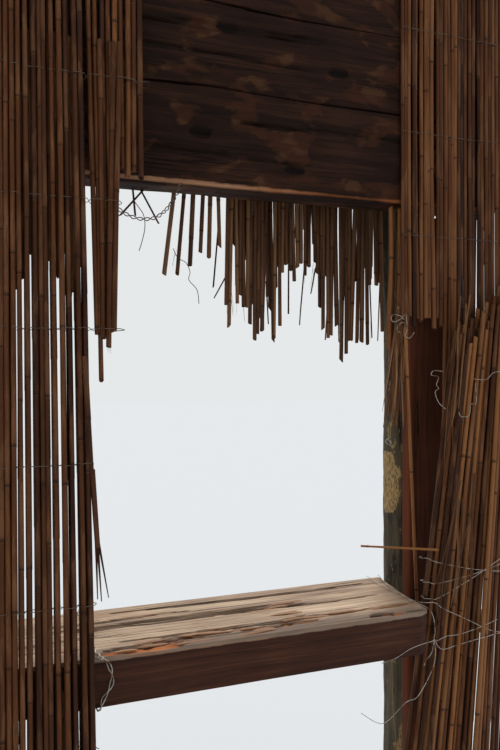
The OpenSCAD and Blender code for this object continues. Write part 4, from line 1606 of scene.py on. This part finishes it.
@dataclass
class Splinters:
    """Long splinters that have lifted from the sill's weathered top, sunk in it at their roots."""

    seed: int = 33
    length: float = 0.1
    width: float = 0.008
    height: float = 0.004
    sunk: float = 0.0028
    middle: float = 0.45
    body: float = 0.3
    drop: float = 0.0004
    ends: tuple[tuple[float, float, float], ...] = ((0.16, 0.6, 0.65), (0.14, 0.12, 0.2))
    sharp: float = 30.0
    zones: tuple[tuple[int, float, float, float, float], ...] = (
        (12, 0.47, 0.66, 0.004, 0.06), (9, 0.66, 0.88, 0.006, 0.08), (7, 0.84, 0.92, 0.01, 0.11),
        (5, 0.5, 0.92, 0.09, 0.19))

    def pattern(self) -> bpy.types.Object:
        """Models one splinter, lying along X with its root at the origin.

        Returns:
            The pattern.
        """
        bpy.ops.object.select_all(action="DESELECT")
        bpy.ops.mesh.primitive_cube_add(size=1.0, location=(self.length * self.middle, 0.0, 0.0))
        splinter = bpy.context.object
        splinter.scale = (self.length * self.body, self.width, self.height)
        bpy.ops.object.transform_apply(location=True, rotation=False, scale=True)
        for side in (1.0, -1.0):
            bpy.ops.object.mode_set(mode="OBJECT")
            far = max(v.co.x * side for v in splinter.data.vertices)
            pick_faces(splinter, lambda face: abs(face.center.x * side - far) < 1e-5)
            for reach, narrow, low in self.ends:
                bpy.ops.mesh.extrude_region_move(
                    TRANSFORM_OT_translate={"value": (side * reach * self.length, 0.0, -side * self.drop)})
                bpy.ops.transform.resize(value=(1.0, narrow, low))
        bpy.ops.object.mode_set(mode="OBJECT")
        return splinter

    def build(self, finish: bpy.types.Material) -> None:
        """Copies the splinter along the sill, joins the copies and dresses them.

        Args:
            finish: their wood.
        """
        chance = random.Random(self.seed)
        low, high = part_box("sill_beam")
        pattern = self.pattern()
        copies = []
        for count, start, end, near, far in self.zones:
            for _ in range(count):
                splinter = copy_of(pattern.data, "splinter")
                size = chance.uniform(0.35, 1.15)
                turn = Matrix.Rotation(math.radians(chance.gauss(0.0, 2.0)), 3, "Z") @ Matrix.Rotation(
                    math.radians(-chance.uniform(0.5, 3.5)), 3, "Y")
                if chance.random() < 0.5:
                    turn = Matrix.Rotation(math.pi, 3, "Z") @ turn
                root = Vector((chance.uniform(start, end), low[1] + chance.uniform(near, far),
                               high[2] - self.sunk))
                broad = chance.uniform(0.5, 1.2)
                for vertex in splinter.data.vertices:
                    x, y, z = vertex.co
                    vertex.co = root + turn @ Vector((x * size, y * broad, z * broad))
                copies.append(splinter)
        bpy.data.objects.remove(pattern)
        dress("sill_splinters", copies, self.sharp, finish, Slot.SILL)


@dataclass
class Studio:
    """Camera at the photograph's viewing angle, pale floor and soft lamps."""

    eye: Place = (0.2843, -1.335, 1.523)
    heading: float = -21.0
    lens: float = 35.0
    sensor: float = 36.0
    shift_y: float = -7.0 / 750.0
    pale: Colour = (0.79, 0.81, 0.82)
    light: float = 0.62
    lamp_power: float = 2.3
    lamp_spread: float = 12.0
    lamp_from: Place = (1.5, 2.6, 3.6)

    def build(self) -> None:
        """Builds the camera, the floor, the lamp and the sky."""
        self.camera()
        self.floor()
        self.lamp()
        self.world()

    def camera(self) -> None:
        """Sets the camera level at the viewer's eye."""
        data = bpy.data.cameras.new("viewer")
        data.lens = self.lens
        data.sensor_width = self.sensor
        data.sensor_fit = "AUTO"
        data.shift_y = self.shift_y
        data.clip_start = 0.05
        camera = bpy.data.objects.new("viewer", data)
        camera.location = self.eye
        camera.rotation_euler = (math.radians(90.0), 0.0, math.radians(self.heading))
        bpy.context.scene.collection.objects.link(camera)
        bpy.context.scene.camera = camera

    def floor(self) -> None:
        """Lays a wide pale floor, which renders about as pale as the background."""
        bpy.ops.object.select_all(action="DESELECT")
        bpy.ops.mesh.primitive_plane_add(size=60.0, location=(0.0, 0.0, -0.0005))
        floor = bpy.context.object
        floor.name = "floor"
        board = Board("floor_paint", roughness=0.9, specular=0.0)
        board.shader.inputs["Base Color"].default_value = (0.68, 0.7, 0.71, 1.0)
        floor.data.materials.append(board.material)

    def lamp(self) -> None:
        """Adds soft daylight that comes in from outside, over the right shoulder of the wall."""
        data = bpy.data.lights.new("daylight", "SUN")
        data.energy = self.lamp_power
        data.angle = math.radians(self.lamp_spread)
        lamp = bpy.data.objects.new("daylight", data)
        lamp.location = self.lamp_from
        lamp.rotation_euler = (-Vector(self.lamp_from)).to_track_quat("-Z", "Y").to_euler()
        bpy.context.scene.collection.objects.link(lamp)

    def world(self) -> None:
        """Lights the scene evenly from all round, and shows a pale background."""
        world = bpy.data.worlds.new("studio")
        world.use_nodes = True
        tree = world.node_tree
        light = tree.nodes["Background"]
        light.inputs["Color"].default_value = (0.97, 0.98, 1.0, 1.0)
        light.inputs["Strength"].default_value = self.light
        shown = tree.nodes.new("ShaderNodeBackground")
        shown.inputs["Color"].default_value = (*self.pale, 1.0)
        paths = tree.nodes.new("ShaderNodeLightPath")
        seen = paths.outputs["Is Camera Ray"]
        for kind in ("Is Glossy Ray", "Is Transmission Ray"):
            either = tree.nodes.new("ShaderNodeMath")
            either.operation = "MAXIMUM"
            tree.links.new(seen, either.inputs[0])
            tree.links.new(paths.outputs[kind], either.inputs[1])
            seen = either.outputs[0]
        mix = tree.nodes.new("ShaderNodeMixShader")
        tree.links.new(seen, mix.inputs[0])
        tree.links.new(light.outputs[0], mix.inputs[1])
        tree.links.new(shown.outputs[0], mix.inputs[2])
        tree.links.new(mix.outputs[0], tree.nodes["World Output"].inputs["Surface"])
        bpy.context.scene.world = world
        bpy.context.scene.view_settings.view_transform = "Standard"


def main() -> None:
    """Builds the bay's looks round the CAD frame."""
    logging.basicConfig(level=logging.INFO, format="%(name)s: %(message)s")
    Studio().build()
    patterns = [ReedPattern(seed).model() for seed in range(6)]
    work = ReedWork(patterns)
    # Two copies of one reed finish: reed_in_shade is the darker one, painted shade, for the mats and strays;
    # reed_outside is paler, for the outer mat and the torn strips.
    shade = ReedFinish("reed_in_shade").material()
    outer = ReedFinish("reed_outside", dark=(0.03, 0.012, 0.007), middle=(0.11, 0.048, 0.022),
                       pale=(0.33, 0.175, 0.08)).material()
    wires = WireWork(WireFinish("rusted_wire", metal=(0.12, 0.09, 0.068),
                                rust=(0.055, 0.026, 0.014)).material())
    bright = WireWork(WireFinish("dull_wire").material(), seed=10)
    LeftMat().build(work, wires, shade)
    RightMat().build(work, wires, shade)
    OuterMat().build(work, wires, outer)
    Strays().build(work, shade)
    LooseWires(bright, wires).build()
    strips = [StripPattern(bends).model(f"strip_{i}") for i, bends in enumerate((
        (0.001, 0.002, 0.002, 0.001, -0.001, -0.002, -0.003),
        (0.0, -0.001, -0.002, -0.002, 0.001, 0.002, 0.003),
        (0.001, 0.002, 0.002, 0.002, 0.003, 0.003, 0.002), (0.001, 0.0, -0.001, 0.001, 0.0, 0.001, 0.001)))]
    Sheaths(strips, wires).build(outer)
    for pattern in patterns + strips:
        bpy.data.objects.remove(pattern)
    Timbers().build()
    Splinters().build(TimberFinish("splinter_wood", Axis.X, dark=(0.11, 0.06, 0.036),
                                   middle=(0.3, 0.15, 0.075), pale=(0.56, 0.37, 0.22)).material())


if __name__ == "__main__":
    main()
